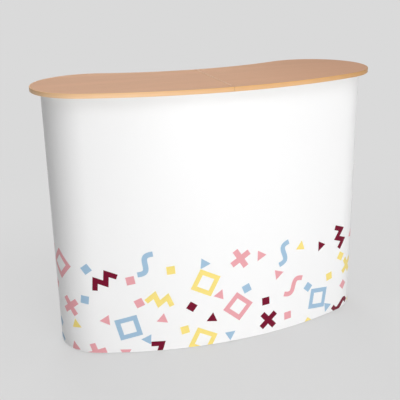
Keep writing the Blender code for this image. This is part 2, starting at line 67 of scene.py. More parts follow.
Triple = tuple[float, float, float]
Colour = Triple
Flat = tuple[float, float]
Mesh = bpy.types.Mesh

ROUND_STEPS = 48
SMALL_STEPS = 24
CORNER_STEPS = 6
CROWN_STEPS = 10
EASE_STEPS = 4
SHARP_ANGLE = math.radians(32)
BEVEL_ANGLE = math.radians(40)
QUARTER = math.pi / 2
LEVEL_FACE = 0.9
UP = Vector((0, 0, 1))

# The colour sockets of a Mix node share their names with its other kinds', so they go by number.
MIX_FIRST = 6
MIX_SECOND = 7
MIX_RESULT = 2


class Wire:
    """Output socket of a shader node. Python's operators on it add Math nodes."""

    def __init__(self, nodes: Nodes, socket: bpy.types.NodeSocket | None) -> None:
        """Keep the tree and the socket."""
        self.nodes = nodes
        self.socket = socket

    def _math(self, operation: str, first: Term, second: Term) -> Wire:
        """Math node on two terms."""
        return self.nodes.add("ShaderNodeMath", {"operation": operation}, {0: first, 1: second})

    def __add__(self, other: Term) -> Wire:
        """Sum."""
        return self._math("ADD", self, other)

    __radd__ = __add__

    def __sub__(self, other: Term) -> Wire:
        """Difference."""
        return self._math("SUBTRACT", self, other)

    def __rsub__(self, other: Term) -> Wire:
        """Difference, from a number."""
        return self._math("SUBTRACT", other, self)

    def __mul__(self, other: Term) -> Wire:
        """Product."""
        return self._math("MULTIPLY", self, other)

    __rmul__ = __mul__


Term = Wire | float
Layers = tuple[Wire, Wire, Wire]


@dataclass(frozen=True)
class Grain:
    """A noise: features to the metre on each axis, octaves and strength of the finer ones."""

    scale: Triple
    detail: float = 2.0
    roughness: float = 0.5


def even(scale: float, detail: float = 2.0, roughness: float = 0.5) -> Grain:
    """Grain with one scale on all axes."""
    return Grain((scale, scale, scale), detail, roughness)


class Nodes:
    """A node tree that takes its nodes through one method."""

    def __init__(self, tree: bpy.types.NodeTree) -> None:
        """Empty the tree."""
        self.tree = tree
        tree.nodes.clear()

    def add(
        self,
        kind: str,
        settings: dict[str, Any] | None = None,
        inputs: dict[str | int, Any] | None = None,
        output: str | int = 0,
    ) -> Wire:
        """Add one node.

        Args:
            kind: The node's type.
            settings: Its properties, which are set first.
            inputs: Values or links of its sockets, by name or number.
            output: The output wanted.

        Returns:
            The output as a wire.
        """
        made = self.tree.nodes.new(kind)
        for key, value in (settings or {}).items():
            setattr(made, key, value)
        for key, value in (inputs or {}).items():
            if isinstance(value, Wire):
                self.tree.links.new(value.socket, made.inputs[key])
            else:
                made.inputs[key].default_value = value
        return Wire(self, made.outputs[output] if len(made.outputs) else None)

    def place(self) -> Wire:
        """Point on the piece, in its own frame."""
        return self.add("ShaderNodeTexCoord", output="Object")

    def noise(self, place: Wire, grain: Grain) -> Wire:
        """Noise from 0 to 1.

        Args:
            place: Where it is read.
            grain: Its scales and octaves.

        Returns:
            The noise.
        """
        spot = self.add("ShaderNodeVectorMath", {"operation": "MULTIPLY"}, {0: place, 1: grain.scale})
        values = {"Vector": spot, "Scale": 1.0, "Detail": grain.detail, "Roughness": grain.roughness}
        return self.add("ShaderNodeTexNoise", {}, values, "Fac")

    def step(self, value: Wire, low: float, high: float) -> Wire:
        """Smooth step from 0 at low to 1 at high."""
        values = {"Value": value, "From Min": low, "From Max": high}
        return self.add("ShaderNodeMapRange", {"interpolation_type": "SMOOTHSTEP"}, values)

    def mix(self, factor: Term, first: Wire | Colour, second: Wire | Colour) -> Wire:
        """Mix of two colours.

        Args:
            factor: Share of the second colour.
            first: First colour.
            second: Second colour.

        Returns:
            The mixed colour.
        """
        colours = [value if isinstance(value, Wire) else opaque(value) for value in (first, second)]
        settings = {"data_type": "RGBA", "clamp_result": False}
        values = {0: factor, MIX_FIRST: colours[0], MIX_SECOND: colours[1]}
        return self.add("ShaderNodeMix", settings, values, MIX_RESULT)

    def bump(self, height: Wire, relief: Flat, over: Wire | None = None) -> Wire:
        """Normal that follows a height from 0 to 1.

        Args:
            height: The height.
            relief: Its depth in metres and its strength.
            over: Normal of a coarser relief that it lies on.

        Returns:
            The normal.
        """
        values: dict[str | int, Any] = {"Height": height, "Distance": relief[0], "Strength": relief[1]}
        if over is not None:
            values["Normal"] = over
        return self.add("ShaderNodeBump", {}, values, "Normal")

    def part(self, vector: Wire, axis: str) -> Wire:
        """One coordinate of a vector."""
        return self.add("ShaderNodeSeparateXYZ", {}, {0: vector}, axis)

    def shown_rays(self) -> Wire:
        """Mask of 1 for the rays that show the backdrop: direct, mirrored and let through.

        Returns:
            The mask.
        """
        names = ("Is Camera Ray", "Is Glossy Ray", "Is Transmission Ray")
        total = sum(self.add("ShaderNodeLightPath", output=name) for name in names)
        return self.add("ShaderNodeClamp", {}, {0: total})

    def either(self, factor: Wire, first: Wire, second: Wire) -> Wire:
        """Mix of two shaders."""
        return self.add("ShaderNodeMixShader", {}, {0: factor, 1: first, 2: second})

    def output(self, surface: Wire, kind: str = "ShaderNodeOutputMaterial") -> None:
        """Send a shader to the tree's output."""
        self.add(kind, {}, {"Surface": surface})


def opaque(colour: Colour) -> tuple[float, float, float, float]:
    """Colour with full alpha."""
    return (*colour, 1.0)


@dataclass(frozen=True)
class Finish:
    """A surface finish; each kind lays its own layers."""

    name: str
    colour: Colour
    roughness: float
    gloss: float = 0.5
    metal: float = 0.0

    def layers(self, nodes: Nodes) -> Layers:
        """Colour, roughness and normal, which each kind of finish gives."""
        raise NotImplementedError

    def paint(self, nodes: Nodes) -> Wire:
        """Shader with the finish's layers.

        Args:
            nodes: The material's node tree.

        Returns:
            The shader.
        """
        tint, rough, normal = self.layers(nodes)
        return nodes.add("ShaderNodeBsdfPrincipled", {}, {
            "Base Color": tint, "Roughness": rough, "Normal": normal, "Metallic": self.metal,
            "Specular IOR Level": self.gloss,
        })

    def material(self) -> bpy.types.Material:
        """Material with this finish, made once.

        Returns:
            The material.
        """
        made = bpy.data.materials.get(self.name)
        if made is None:
            made = bpy.data.materials.new(self.name)
            made.use_nodes = True
            made.diffuse_color = opaque(self.colour)
            nodes = Nodes(made.node_tree)
            nodes.output(self.paint(nodes))
        return made


@dataclass(frozen=True)
class BeechLaminate(Finish):
    """Printed beech laminate: long soft figure, fine fibres and flecks along X, with painted shade that
    darkens it towards the right.
    """

    gloss: float = 0.15
    # Painted shade: the darker colour the top takes on towards its right end, where it starts and ends along
    # X, and how strongly.
    deep: Colour = (0.52, 0.265, 0.15)
    deep_reach: Flat = (0.0, 0.62)
    deep_share: float = 0.5
    dark: Colour = (0.46, 0.26, 0.16)
    dark_share: float = 0.42
    figure: Grain = Grain((1.1, 11.0, 4.0), 4.0, 0.55)
    figure_window: Flat = (0.30, 0.72)
    figure_share: float = 0.55
    fibre: Grain = Grain((14.0, 620.0, 200.0), 3.0, 0.6)
    fibre_window: Flat = (0.35, 0.70)
    fibre_share: float = 0.35
    fleck: Colour = (0.30, 0.15, 0.08)
    specks: Grain = Grain((240.0, 1500.0, 600.0), 1.0)
    speck_window: Flat = (0.66, 0.74)
    speck_share: float = 0.35
    emboss: Flat = (0.00006, 0.5)
    emboss_fibre: float = 0.6
    rough_swing: float = 0.10

    def layers(self, nodes: Nodes) -> Layers:
        """Lay the laminate's colour, roughness and emboss.

        Args:
            nodes: The material's node tree.

        Returns:
            Colour, roughness and normal.
        """
        place = nodes.place()
        figure = nodes.noise(place, self.figure)
        fibre = nodes.noise(place, self.fibre)
        fleck = nodes.step(nodes.noise(place, self.specks), *self.speck_window)
        tone = self.figure_share * nodes.step(figure, *self.figure_window)
        tone += self.fibre_share * nodes.step(fibre, *self.fibre_window)
        # Painted shade: the wood darkens towards the right end along X.
        depth = nodes.step(nodes.part(place, "X"), *self.deep_reach)
        wood = nodes.mix(depth * self.deep_share, self.colour, self.deep)
        wood = nodes.mix(tone * self.dark_share, wood, self.dark)
        wood = nodes.mix(fleck * self.speck_share, wood, self.fleck)
        height = self.emboss_fibre * fibre + (1.0 - self.emboss_fibre) * (1.0 - fleck)
        return wood, self.roughness + self.rough_swing * (fibre - 0.5), nodes.bump(height, self.emboss)


@dataclass(frozen=True)
class EdgeBand(Finish):
    """Edge band: golden above and paler below, with a painted highlight that pales it towards the left,
    painted shade that browns it towards the right, and faint streaks.
    """

    gloss: float = 0.25
    lower: Colour = (0.76, 0.45, 0.22)
    upper_window: Flat = (0.960, 0.969)
    # Painted highlight: the pale colour towards the left end, where it fades out along X, how strongly, and
    # how much weaker it is on the upper part.
    pale: Colour = (0.96, 0.64, 0.38)
    pale_reach: Flat = (-0.45, 0.05)
    pale_share: float = 0.95
    pale_loss: float = 0.35
    # Painted shade: the brown colour towards the right end, where it starts and ends along X, and how
    # strongly.
    deep: Colour = (0.47, 0.25, 0.09)
    deep_reach: Flat = (0.22, 0.64)
    deep_share: float = 0.75
    streak: Colour = (0.60, 0.33, 0.13)
    streaks: Grain = Grain((5.0, 5.0, 900.0), 3.0, 0.6)
    streak_window: Flat = (0.40, 0.85)
    streak_share: float = 0.25
    pearl: Grain = even(1600.0, 1.0)
    relief: Flat = (0.00004, 0.5)
    rough_swing: float = 0.08

    def layers(self, nodes: Nodes) -> Layers:
        """Lay the band's colour, roughness and pearl.

        Args:
            nodes: The material's node tree.

        Returns:
            Colour, roughness and normal.
        """
        place = nodes.place()
        streaks = nodes.noise(place, self.streaks)
        along = nodes.part(place, "X")
        above = nodes.step(nodes.part(place, "Z"), *self.upper_window)
        tint = nodes.mix(above, self.lower, self.colour)
        # Painted highlight: the band pales towards the left end, less on its upper part.
        left = 1.0 - nodes.step(along, *self.pale_reach)
        tint = nodes.mix(left * (self.pale_share - self.pale_loss * above), tint, self.pale)
        # Painted shade: the band browns towards the right end.
        right = nodes.step(along, *self.deep_reach)
        tint = nodes.mix(self.deep_share * right, tint, self.deep)
        tint = nodes.mix(nodes.step(streaks, *self.streak_window) * self.streak_share, tint, self.streak)
        normal = nodes.bump(nodes.noise(place, self.pearl), self.relief)
        return tint, self.roughness + self.rough_swing * (streaks - 0.5), normal


@dataclass(frozen=True)
class Film(Finish):
    """Laminated print film: fine stipple, slight waviness of the sheet, rubbed a little at the foot."""

    gloss: float = 0.30
    rubbed: Colour = (0.55, 0.54, 0.52)
    rub_height: float = 0.05
    rub_window: Flat = (0.45, 0.75)
    rub_share: float = 0.10
    rub_dulling: float = 0.10
    smudge: Grain = Grain((6.0, 6.0, 14.0), 4.0, 0.6)
    smudge_swing: float = 0.10
    wave: Grain = Grain((3.0, 3.0, 0.8), 1.0)
    wave_relief: Flat = (0.0010, 0.25)
    stipple: Grain = even(2200.0)
    stipple_relief: Flat = (0.00003, 0.5)

    def layers(self, nodes: Nodes) -> Layers:
        """Lay the film's colour, roughness and two reliefs.

        Args:
            nodes: The material's node tree.

        Returns:
            Colour, roughness and normal.
        """
        place = nodes.place()
        smudge = nodes.noise(place, self.smudge)
        low = 1.0 - nodes.step(nodes.part(place, "Z"), 0.0, self.rub_height)
        rub = low * nodes.step(smudge, *self.rub_window)
        tint = nodes.mix(rub * self.rub_share, self.colour, self.rubbed)
        rough = self.roughness + self.smudge_swing * (smudge - 0.5) + self.rub_dulling * rub
        wave = nodes.bump(nodes.noise(place, self.wave), self.wave_relief)
        return tint, rough, nodes.bump(nodes.noise(place, self.stipple), self.stipple_relief, wave)


@dataclass(frozen=True)
class Grained(Finish):
    """Fine grain in relief under soft patches of a second colour."""

    grain: Grain = even(1300.0)
    relief: Flat = (0.00008, 0.6)
    grain_swing: float = 0.0
    second: Colour = (0.16, 0.16, 0.17)
    patches: Grain = even(60.0, 4.0, 0.65)
    patch_window: Flat = (0.55, 0.80)
    patch_share: float = 0.35
    patch_swing: float = 0.14

    def layers(self, nodes: Nodes) -> Layers:
        """Lay the patches over the grain.

        Args:
            nodes: The material's node tree.

        Returns:
            Colour, roughness and normal.
        """
        place = nodes.place()
        grain = nodes.noise(place, self.grain)
        patch = nodes.noise(place, self.patches)
        tint = nodes.mix(nodes.step(patch, *self.patch_window) * self.patch_share, self.colour, self.second)
        rough = self.roughness + self.grain_swing * (grain - 0.5) + self.patch_swing * (patch - 0.5)
        return tint, rough, nodes.bump(grain, self.relief)


@dataclass(frozen=True)
class Moulding(Grained):
    """Moulded plastic with a spark-eroded grain, a little paler where it is rubbed."""


@dataclass(frozen=True)
class Anodised(Grained):
    """Drawn and anodised aluminium, with its draw lines along one axis and a dull bloom."""

    metal: float = 1.0
    grain: Grain = Grain((6.0, 1400.0, 1400.0))
    relief: Flat = (0.00003, 0.4)
    grain_swing: float = 0.16
    second: Colour = (0.62, 0.63, 0.65)
    patches: Grain = even(35.0, 3.0)
    patch_window: Flat = (0.35, 0.80)
    patch_swing: float = 0.08


@dataclass(frozen=True)
class Board(Grained):
    """Melamine-faced or raw board: fine pearl and soft chips of a second tone."""

    grain: Grain = even(900.0, 1.0)
    second: Colour = (0.50, 0.51, 0.52)
    patches: Grain = even(260.0, 3.0, 0.6)
    patch_window: Flat = (0.45, 0.65)
    patch_share: float = 0.25
    patch_swing: float = 0.10


@dataclass(frozen=True)
class PolishedMetal(Grained):
    """Turned or pressed metal with faint brush marks and a slight tarnish."""

    metal: float = 1.0
    grain: Grain = Grain((1500.0, 30.0, 1500.0))
    relief: Flat = (0.00002, 0.4)
    grain_swing: float = 0.15
    patches: Grain = even(90.0, 3.0)
    patch_window: Flat = (0.50, 0.85)
    patch_share: float = 0.40
    patch_swing: float = 0.0


@dataclass(frozen=True)
class StudioFloor(Finish):
    """Pale floor: it holds part of the object's shadow and joins the backdrop without a line."""

    backdrop: Colour = (0.701, 0.701, 0.701)
    even_share: float = 0.72
    fade: Flat = (0.7, 2.4)
    mottle: Grain = even(3.0, 3.0)
    mottle_level: float = 0.99

    def paint(self, nodes: Nodes) -> Wire:
        """Shader that fades from a matt floor to the backdrop's even colour.

        Args:
            nodes: The material's node tree.

        Returns:
            The shader.
        """
        place = nodes.place()
        distance = nodes.add("ShaderNodeVectorMath", {"operation": "LENGTH"}, {0: place}, "Value")
        share = self.even_share + (1.0 - self.even_share) * nodes.step(distance, *self.fade)
        darker = tuple(self.mottle_level * level for level in self.colour)
        tint = nodes.mix(nodes.noise(place, self.mottle), self.colour, darker)
        values = {"Base Color": tint, "Roughness": self.roughness, "Specular IOR Level": 0.0}
        matt = nodes.add("ShaderNodeBsdfPrincipled", {}, values)
        glow = nodes.add("ShaderNodeEmission", {}, {"Color": opaque(self.backdrop), "Strength": 1.0})
        return nodes.either(nodes.shown_rays() * share, matt, glow)


BEECH = BeechLaminate("beech_laminate", (0.71, 0.407, 0.250), 0.50)
EDGE = EdgeBand("beech_edge_band", (0.74, 0.42, 0.17), 0.46)
BAND_CORE: Colour = (0.16, 0.09, 0.04)
CUT_BAND = EdgeBand("beech_edge_band_cut", BAND_CORE, 0.80, lower=BAND_CORE, pale=BAND_CORE)
RAW_BOARD = Board("raw_chipboard", (0.48, 0.35, 0.22), 0.85, second=(0.30, 0.20, 0.12), patch_share=0.8)
BACKING = Board("backing_laminate", (0.62, 0.58, 0.52), 0.55, second=(0.56, 0.52, 0.46))
FILM = Film("print_film_white", (0.93, 0.93, 0.93), 0.42)
FILM_BACK = Film("print_film_back", (0.70, 0.70, 0.69), 0.60)
FILM_CUT = Film("print_film_cut_edge", (0.80, 0.80, 0.79), 0.60)
BLUE = Film("print_ink_blue", (0.355, 0.530, 0.700), 0.42)
YELLOW = Film("print_ink_yellow", (0.940, 0.760, 0.220), 0.42)
PINK = Film("print_ink_pink", (0.820, 0.375, 0.410), 0.42)
MAROON = Film("print_ink_maroon", (0.180, 0.003, 0.025), 0.45, gloss=0.12)
TUBE = Anodised("tube_anodised", (0.83, 0.84, 0.85), 0.36)
CHANNEL = Anodised("channel_anodised", (0.78, 0.79, 0.80), 0.42, grain=Grain((1400.0, 1400.0, 6.0)))
HUB_PLASTIC = Moulding("hub_moulding", (0.035, 0.035, 0.038), 0.50)
GREY_PLASTIC = Moulding("grey_moulding", (0.40, 0.41, 0.43), 0.48, second=(0.52, 0.53, 0.55))
HANGER_PLASTIC = Moulding("hanger_moulding", (0.62, 0.62, 0.63), 0.50, second=(0.70, 0.70, 0.71))
RUBBER = Moulding("foot_rubber", (0.022, 0.022, 0.023), 0.80, second=(0.09, 0.085, 0.08), grain=even(500.0))
TAPE = Moulding("magnetic_tape", (0.060, 0.045, 0.038), 0.70, second=(0.10, 0.08, 0.07))
BRASS = PolishedMetal("hinge_brass_satin", (0.87, 0.655, 0.482), 0.42, second=(0.76, 0.54, 0.37))
STEEL = PolishedMetal("bright_steel", (0.66, 0.66, 0.67), 0.28, second=(0.48, 0.47, 0.46))
SHELF_FACE = Board("shelf_melamine", (0.56, 0.57, 0.58), 0.50)
SHELF_EDGE = Board("shelf_edge_band", (0.30, 0.31, 0.32), 0.50, second=(0.26, 0.27, 0.28))
FLOOR = StudioFloor("studio_floor", (0.80, 0.80, 0.80), 0.90)


Parts = list[tuple[Mesh, Finish | None]]


def lofted(rings: Sequence[Sequence[Sequence[float]]]) -> Mesh:
    """Closed mesh through rings of points, capped at both ends.

    Args:
        rings: Rings of equally many points, each going round the same way.

    Returns:
        The mesh, its faces turned outward.
    """
    shape = bmesh.new()
    loops = [[shape.verts.new(point) for point in ring] for ring in rings]
    for near, far in zip(loops, loops[1:]):
        for i, corner in enumerate(near):
            j = (i + 1) % len(near)
            shape.faces.new((corner, near[j], far[j], far[i]))
    shape.faces.new(reversed(loops[0]))
    shape.faces.new(loops[-1])
    bmesh.ops.recalc_face_normals(shape, faces=shape.faces)
    return written(shape)


def written(shape: bmesh.types.BMesh) -> Mesh:
    """Mesh from a bmesh, which is freed.

    Args:
        shape: The bmesh.

    Returns:
        The mesh.
    """
    mesh = bpy.data.meshes.new("shape")
    shape.to_mesh(mesh)
    shape.free()
    return mesh


def prism(outline: Sequence[Flat], low: float, high: float) -> Mesh:
    """Outline in X and Y, raised from low to high along Z."""
    return lofted([[(x, y, z) for x, y in outline] for z in (low, high)])


def along_x(outline: Sequence[Flat], low: float, high: float) -> Mesh:
    """Outline in Y and Z, drawn out from low to high along X."""
    return lofted([[(x, y, z) for y, z in outline] for x in (low, high)])


def box(low: Sequence[float], high: Sequence[float]) -> Mesh:
    """Block between two opposite corners."""
    outline = [(low[0], low[1]), (high[0], low[1]), (high[0], high[1]), (low[0], high[1])]
    return prism(outline, low[2], high[2])


def arc(centre: Flat, radius: float, start: float, end: float, steps: int) -> list[Flat]:
    """Points along an arc, both ends included."""
    angles = [start + (end - start) * i / steps for i in range(steps + 1)]
    return [(centre[0] + radius * math.cos(a), centre[1] + radius * math.sin(a)) for a in angles]


def chain(*arcs: list[Flat]) -> list[Flat]:
    """Line through arcs that meet, with each shared point once."""
    return arcs[0] + [point for later in arcs[1:] for point in later[1:]]


def crown(centre: Flat, radius: float) -> list[Flat]:
    """Round end of a slot that opens downward, without its first and last point."""
    return arc(centre, radius, math.pi, 0, CROWN_STEPS)[1:-1]


def turned(profile: Sequence[Flat], sides: int = SMALL_STEPS) -> Mesh:
    """Solid turned about the Z axis from pairs of radius and height.

    Args:
        profile: The pairs, from one end to the other.
        sides: Facets round the axis.

    Returns:
        The mesh.
    """
    rings = []
    for radius, height in profile:
        rings.append([(x, y, height) for x, y in arc((0, 0), radius, 0, 2 * math.pi, sides)[:-1]])
    return lofted(rings)


def rod(radius: float, low: float, high: float, ease: float = 0.0003) -> Mesh:
    """Round bar along Z with eased ends."""
    return turned([(radius - ease, low), (radius, low + ease), (radius, high - ease), (radius - ease, high)])


def moved(mesh: Mesh, matrix: Matrix) -> Mesh:
    """Copy of a mesh in another place.

    Args:
        mesh: The mesh.
        matrix: Its move, which may mirror it.

    Returns:
        The copy.
    """
    copy = mesh.copy()
    copy.transform(matrix)
    if matrix.determinant() < 0:
        copy.flip_normals()
    return copy


def shifted(mesh: Mesh, x: float = 0.0, y: float = 0.0, z: float = 0.0) -> Mesh:
    """Copy of a mesh moved by the given steps."""
    return moved(mesh, Matrix.Translation((x, y, z)))


def turn(axis: str, angle: float = QUARTER) -> Matrix:
    """Rotation about one axis."""
    return Matrix.Rotation(angle, 4, axis)


def mirrored(mesh: Mesh, axis: Sequence[float]) -> Mesh:
    """Copy of a mesh, mirrored at the origin along one axis."""
    return moved(mesh, Matrix.Scale(-1, 4, axis))


def bevelled(mesh: Mesh, width: float, segments: int = 2) -> Mesh:
    """Copy of a mesh with its sharp edges rounded.

    Args:
        mesh: The mesh.
        width: Width of the rounding.
        segments: Facets across it.

    Returns:
        The rounded mesh.
    """
    shape = bmesh.new()
    shape.from_mesh(mesh)
    edges = [e for e in shape.edges if e.is_manifold and e.calc_face_angle() > BEVEL_ANGLE]
    bmesh.ops.bevel(shape, geom=edges, offset=width, segments=segments, affect="EDGES", profile=0.5)
    return written(shape)


def joined(parts: Parts, finishes: Sequence[Finish] = ()) -> Mesh:
    """One mesh from several, each with its finish.

    Args:
        parts: Meshes with their finishes, or None for one that keeps its material numbers.
        finishes: The piece's finishes, in the order of those numbers.

    Returns:
        The mesh.
    """
    shape = bmesh.new()
    for mesh, finish in parts:
        start = len(shape.faces)
        shape.from_mesh(mesh)
        shape.faces.ensure_lookup_table()
        if finish is not None:
            for face in shape.faces[start:]:
                face.material_index = finishes.index(finish)
    return written(shape)


def cut(mesh: Mesh, cutters: Sequence[Mesh]) -> Mesh:
    """Mesh with several shapes cut out of it.

    Args:
        mesh: The mesh.
        cutters: Closed shapes to take away.

    Returns:
        What is left.
    """
    scene = bpy.context.scene.collection.objects
    body = bpy.data.objects.new("body", mesh)
    tool = bpy.data.objects.new("tool", joined([(cutter, None) for cutter in cutters]))
    scene.link(body)
    scene.link(tool)
    modifier = body.modifiers.new("cut", "BOOLEAN")
    modifier.operation = "DIFFERENCE"
    modifier.object = tool
    graph = bpy.context.evaluated_depsgraph_get()
    result = bpy.data.meshes.new_from_object(body.evaluated_get(graph))
    bpy.data.objects.remove(body)
    bpy.data.objects.remove(tool)
    return result


def rounded(outline: Sequence[Flat], radius: float) -> list[Flat]:
    """Outline with every corner rounded.

    Args:
        outline: Its corners.
        radius: Radius of each rounding.

    Returns:
        The rounded outline.
    """
    points: list[Flat] = []
    for i, corner in enumerate(outline):
        here = Vector(corner)
        before = (Vector(outline[i - 1]) - here).normalized()
        after = (Vector(outline[(i + 1) % len(outline)]) - here).normalized()
        half = before.angle(after) / 2
        reach = radius / math.tan(half)
        centre = here + (before + after).normalized() * (radius / math.sin(half))
        start = here + before * reach - centre
        sweep = math.pi - 2 * half
        side = 1.0 if before.cross(after) < 0 else -1.0
        for k in range(CORNER_STEPS + 1):
            spin = Matrix.Rotation(side * sweep * k / CORNER_STEPS, 2)
            point = centre + spin @ start
            points.append((point.x, point.y))
    return points


def add_piece(
    name: str,
    mesh: Mesh,
    finishes: Sequence[Finish],
    body: str,
    replaces: Sequence[str] = (),
    matrix: Matrix | None = None,
) -> None:
    """Put a piece in the scene, riding on its body.

    Args:
        name: The piece's name.
        mesh: Its mesh, with material numbers.
        finishes: Its finishes, in the order of those numbers.
        body: The body that it rides on.
        replaces: Nodes that it stands for.
        matrix: Its place.
    """
    for finish in finishes:
        mesh.materials.append(finish.material())
    mesh.shade_smooth()
    mesh.set_sharp_from_angle(angle=SHARP_ANGLE)
    piece = bpy.data.objects.new(name, mesh)
    mesh.name = name
    bpy.context.scene.collection.objects.link(piece)
    piece.matrix_world = matrix or Matrix.Identity(4)
    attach(piece, body)
    if replaces:
        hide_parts(*replaces)
    log.info("%s: %d faces on %s", name, len(mesh.polygons), body)


class Layer(Enum):
    """The frame's two faces."""

    FRONT = "front"
    REAR = "rear"


class Column(Enum):
    """The frame's three columns, with their places along the curve."""

    LEFT = ("left", -1)
    CENTRE = ("centre", 0)
    RIGHT = ("right", 1)

    @property
    def label(self) -> str:
        """Name in a piece's name."""
        return self.value[0]

    @property
    def step(self) -> int:
        """Place along the curve."""
        return self.value[1]


ROWS = ("bottom", "middle", "top")


@dataclass(frozen=True)
class Plan:
    """The counter's plan and heights, which all its sub-assemblies share."""

    height: float = 0.970
    thickness: float = 0.016
    front_radius: float = 1.420
    end_radius: float = 0.212
    rear_radius: float = 0.954
    end_overhang: float = 0.0355
    front_overhang: float = 0.038
    seam: float = 0.0006
    panel_radius: float = 1.404
    panel_stack: float = 0.0261
    frame_depth: float = 0.280
    tube_radius: float = 0.006
    pivot: float = 0.019
    hub_half_width: float = 0.027
    foot_height: float = 0.026
    post_height: float = 0.020
    bar_width: float = 0.024
    gap: float = 0.0003

    @property
    def underside(self) -> float:
        """Height of the worktop's underside."""
        return self.height - self.thickness

    @property
    def rows(self) -> list[float]:
        """Heights of the rows of hubs.

        Returns:
            Heights of the bottom, middle and top row.
        """
        low = self.foot_height + self.hub_half_width
        high = self.underside - self.gap - self.post_height - self.hub_half_width
        return [low, (low + high) / 2, high]

    @property
    def front_line(self) -> float:
        """Radius of the front hubs' circle."""
        return self.panel_radius - self.panel_stack

    @property
    def rear_line(self) -> float:
        """Radius of the rear hubs' circle."""
        return self.front_line - self.frame_depth

    @property
    def pair_offset(self) -> float:
        """Distance of a strut's middle plane from its hubs'."""
        return self.tube_radius + self.gap / 2

    @property
    def strut_length(self) -> float:
        """Length of every strut between its eyes."""
        return math.hypot(self.frame_depth, self.rows[1] - self.rows[0] - 2 * self.pivot)

    @property
    def half_angle(self) -> float:
        """Half the angle between neighbouring columns, set by the struts' common length.

        Returns:
            The angle in radians.
        """
        rise = (self.rows[1] - self.rows[0] - 2 * self.pivot) ** 2 / 4
        a = self.front_line * self.rear_line - rise
        b = self.pivot * (self.front_line + self.rear_line)
        c = self.pivot**2 - rise
        return math.atan((b + math.sqrt(b * b - 4 * a * c)) / (2 * a))

    @property
    def end_turn(self) -> float:
        """Angle along the front at which the panel starts round its end."""
        return 2 * self.half_angle + math.atan(self.bar_width / 2 / self.front_line)

    @property
    def panel_end_radius(self) -> float:
        """Radius of the panel's ends."""
        return (self.panel_radius - self.panel_rear_radius) / 2

    @property
    def panel_rear_radius(self) -> float:
        """Radius of the panel's rear edges' circle."""
        return self.rear_line - self.panel_stack

    @property
    def rear_edge_turn(self) -> float:
        """Angle along the rear at which the panel's sheet ends."""
        return 2 * self.half_angle - math.atan(self.bar_width / 2 / self.rear_line)

    @property
    def half_width(self) -> float:
        """Half the worktop's width."""
        middle = self.panel_radius - self.panel_end_radius
        return middle * math.sin(self.end_turn) + self.panel_end_radius + self.end_overhang

    @property
    def end_x(self) -> float:
        """X of the worktop's right end circle."""
        return self.half_width - self.end_radius

    @property
    def front_reach(self) -> float:
        """Distance in Y from the front circle's centre to the end circles'."""
        return math.sqrt((self.front_radius - self.end_radius) ** 2 - self.end_x**2)

    @property
    def rear_reach(self) -> float:
        """Distance in Y from the end circles' centres to the rear circle's."""
        return math.sqrt((self.rear_radius + self.end_radius) ** 2 - self.end_x**2)

    @property
    def front_y(self) -> float:
        """Y of the worktop's front edge."""
        return -(self.front_radius - self.front_reach + self.end_radius) / 2

    @property
    def centre_y(self) -> float:
        """Y of the frame's and panel's common centre."""
        return self.front_y + self.front_overhang + self.panel_radius

    def outline(self, inset: float) -> list[Flat]:
        """Right half of the worktop's outline, from the seam's front end to its rear end.

        Args:
            inset: Distance inside the worktop's edge.

        Returns:
            Points from the seam's front end round to its rear end.
        """
        front = self.front_radius - inset
        rear = self.rear_radius + inset
        middle_y = self.front_y + self.front_radius
        end_y = middle_y - self.front_reach
        front_turn = math.atan2(self.end_x, self.front_reach)
        rear_turn = math.atan2(self.end_x, self.rear_reach)
        start = math.asin(self.seam / 2 / front) - QUARTER
        end = math.asin(self.seam / 2 / rear) - QUARTER
        return chain(
            arc((0, middle_y), front, start, front_turn - QUARTER, ROUND_STEPS),
            arc(
                (self.end_x, end_y), self.end_radius - inset, front_turn - QUARTER, QUARTER + rear_turn,
                2 * ROUND_STEPS,
            ),
            arc((0, end_y + self.rear_reach), rear, rear_turn - QUARTER, end, ROUND_STEPS),
        )

    def place(self, column: float, radius: float, height: float) -> Matrix:
        """Place in a column: X along the curve, Y away from the front, Z up.

        Args:
            column: Place along the curve, 0 in the middle.
            radius: Distance from the frame's centre.
            height: Height over the floor.

        Returns:
            The place.
        """
        angle = 2 * self.half_angle * column
        centre = Vector((radius * math.sin(angle), self.centre_y - radius * math.cos(angle), height))
        return Matrix.Translation(centre) @ turn("Z", angle)

    def layer_place(self, layer: Layer, column: float, height: float) -> Matrix:
        """Place of a hub or bar, its outer face turned to the front or to the rear.

        Args:
            layer: Front or rear.
            column: Place along the curve.
            height: Height over the floor.

        Returns:
            The place.
        """
        if layer is Layer.FRONT:
            return self.place(column, self.front_line, height)
        return self.place(column, self.rear_line, height) @ turn("Z", math.pi)


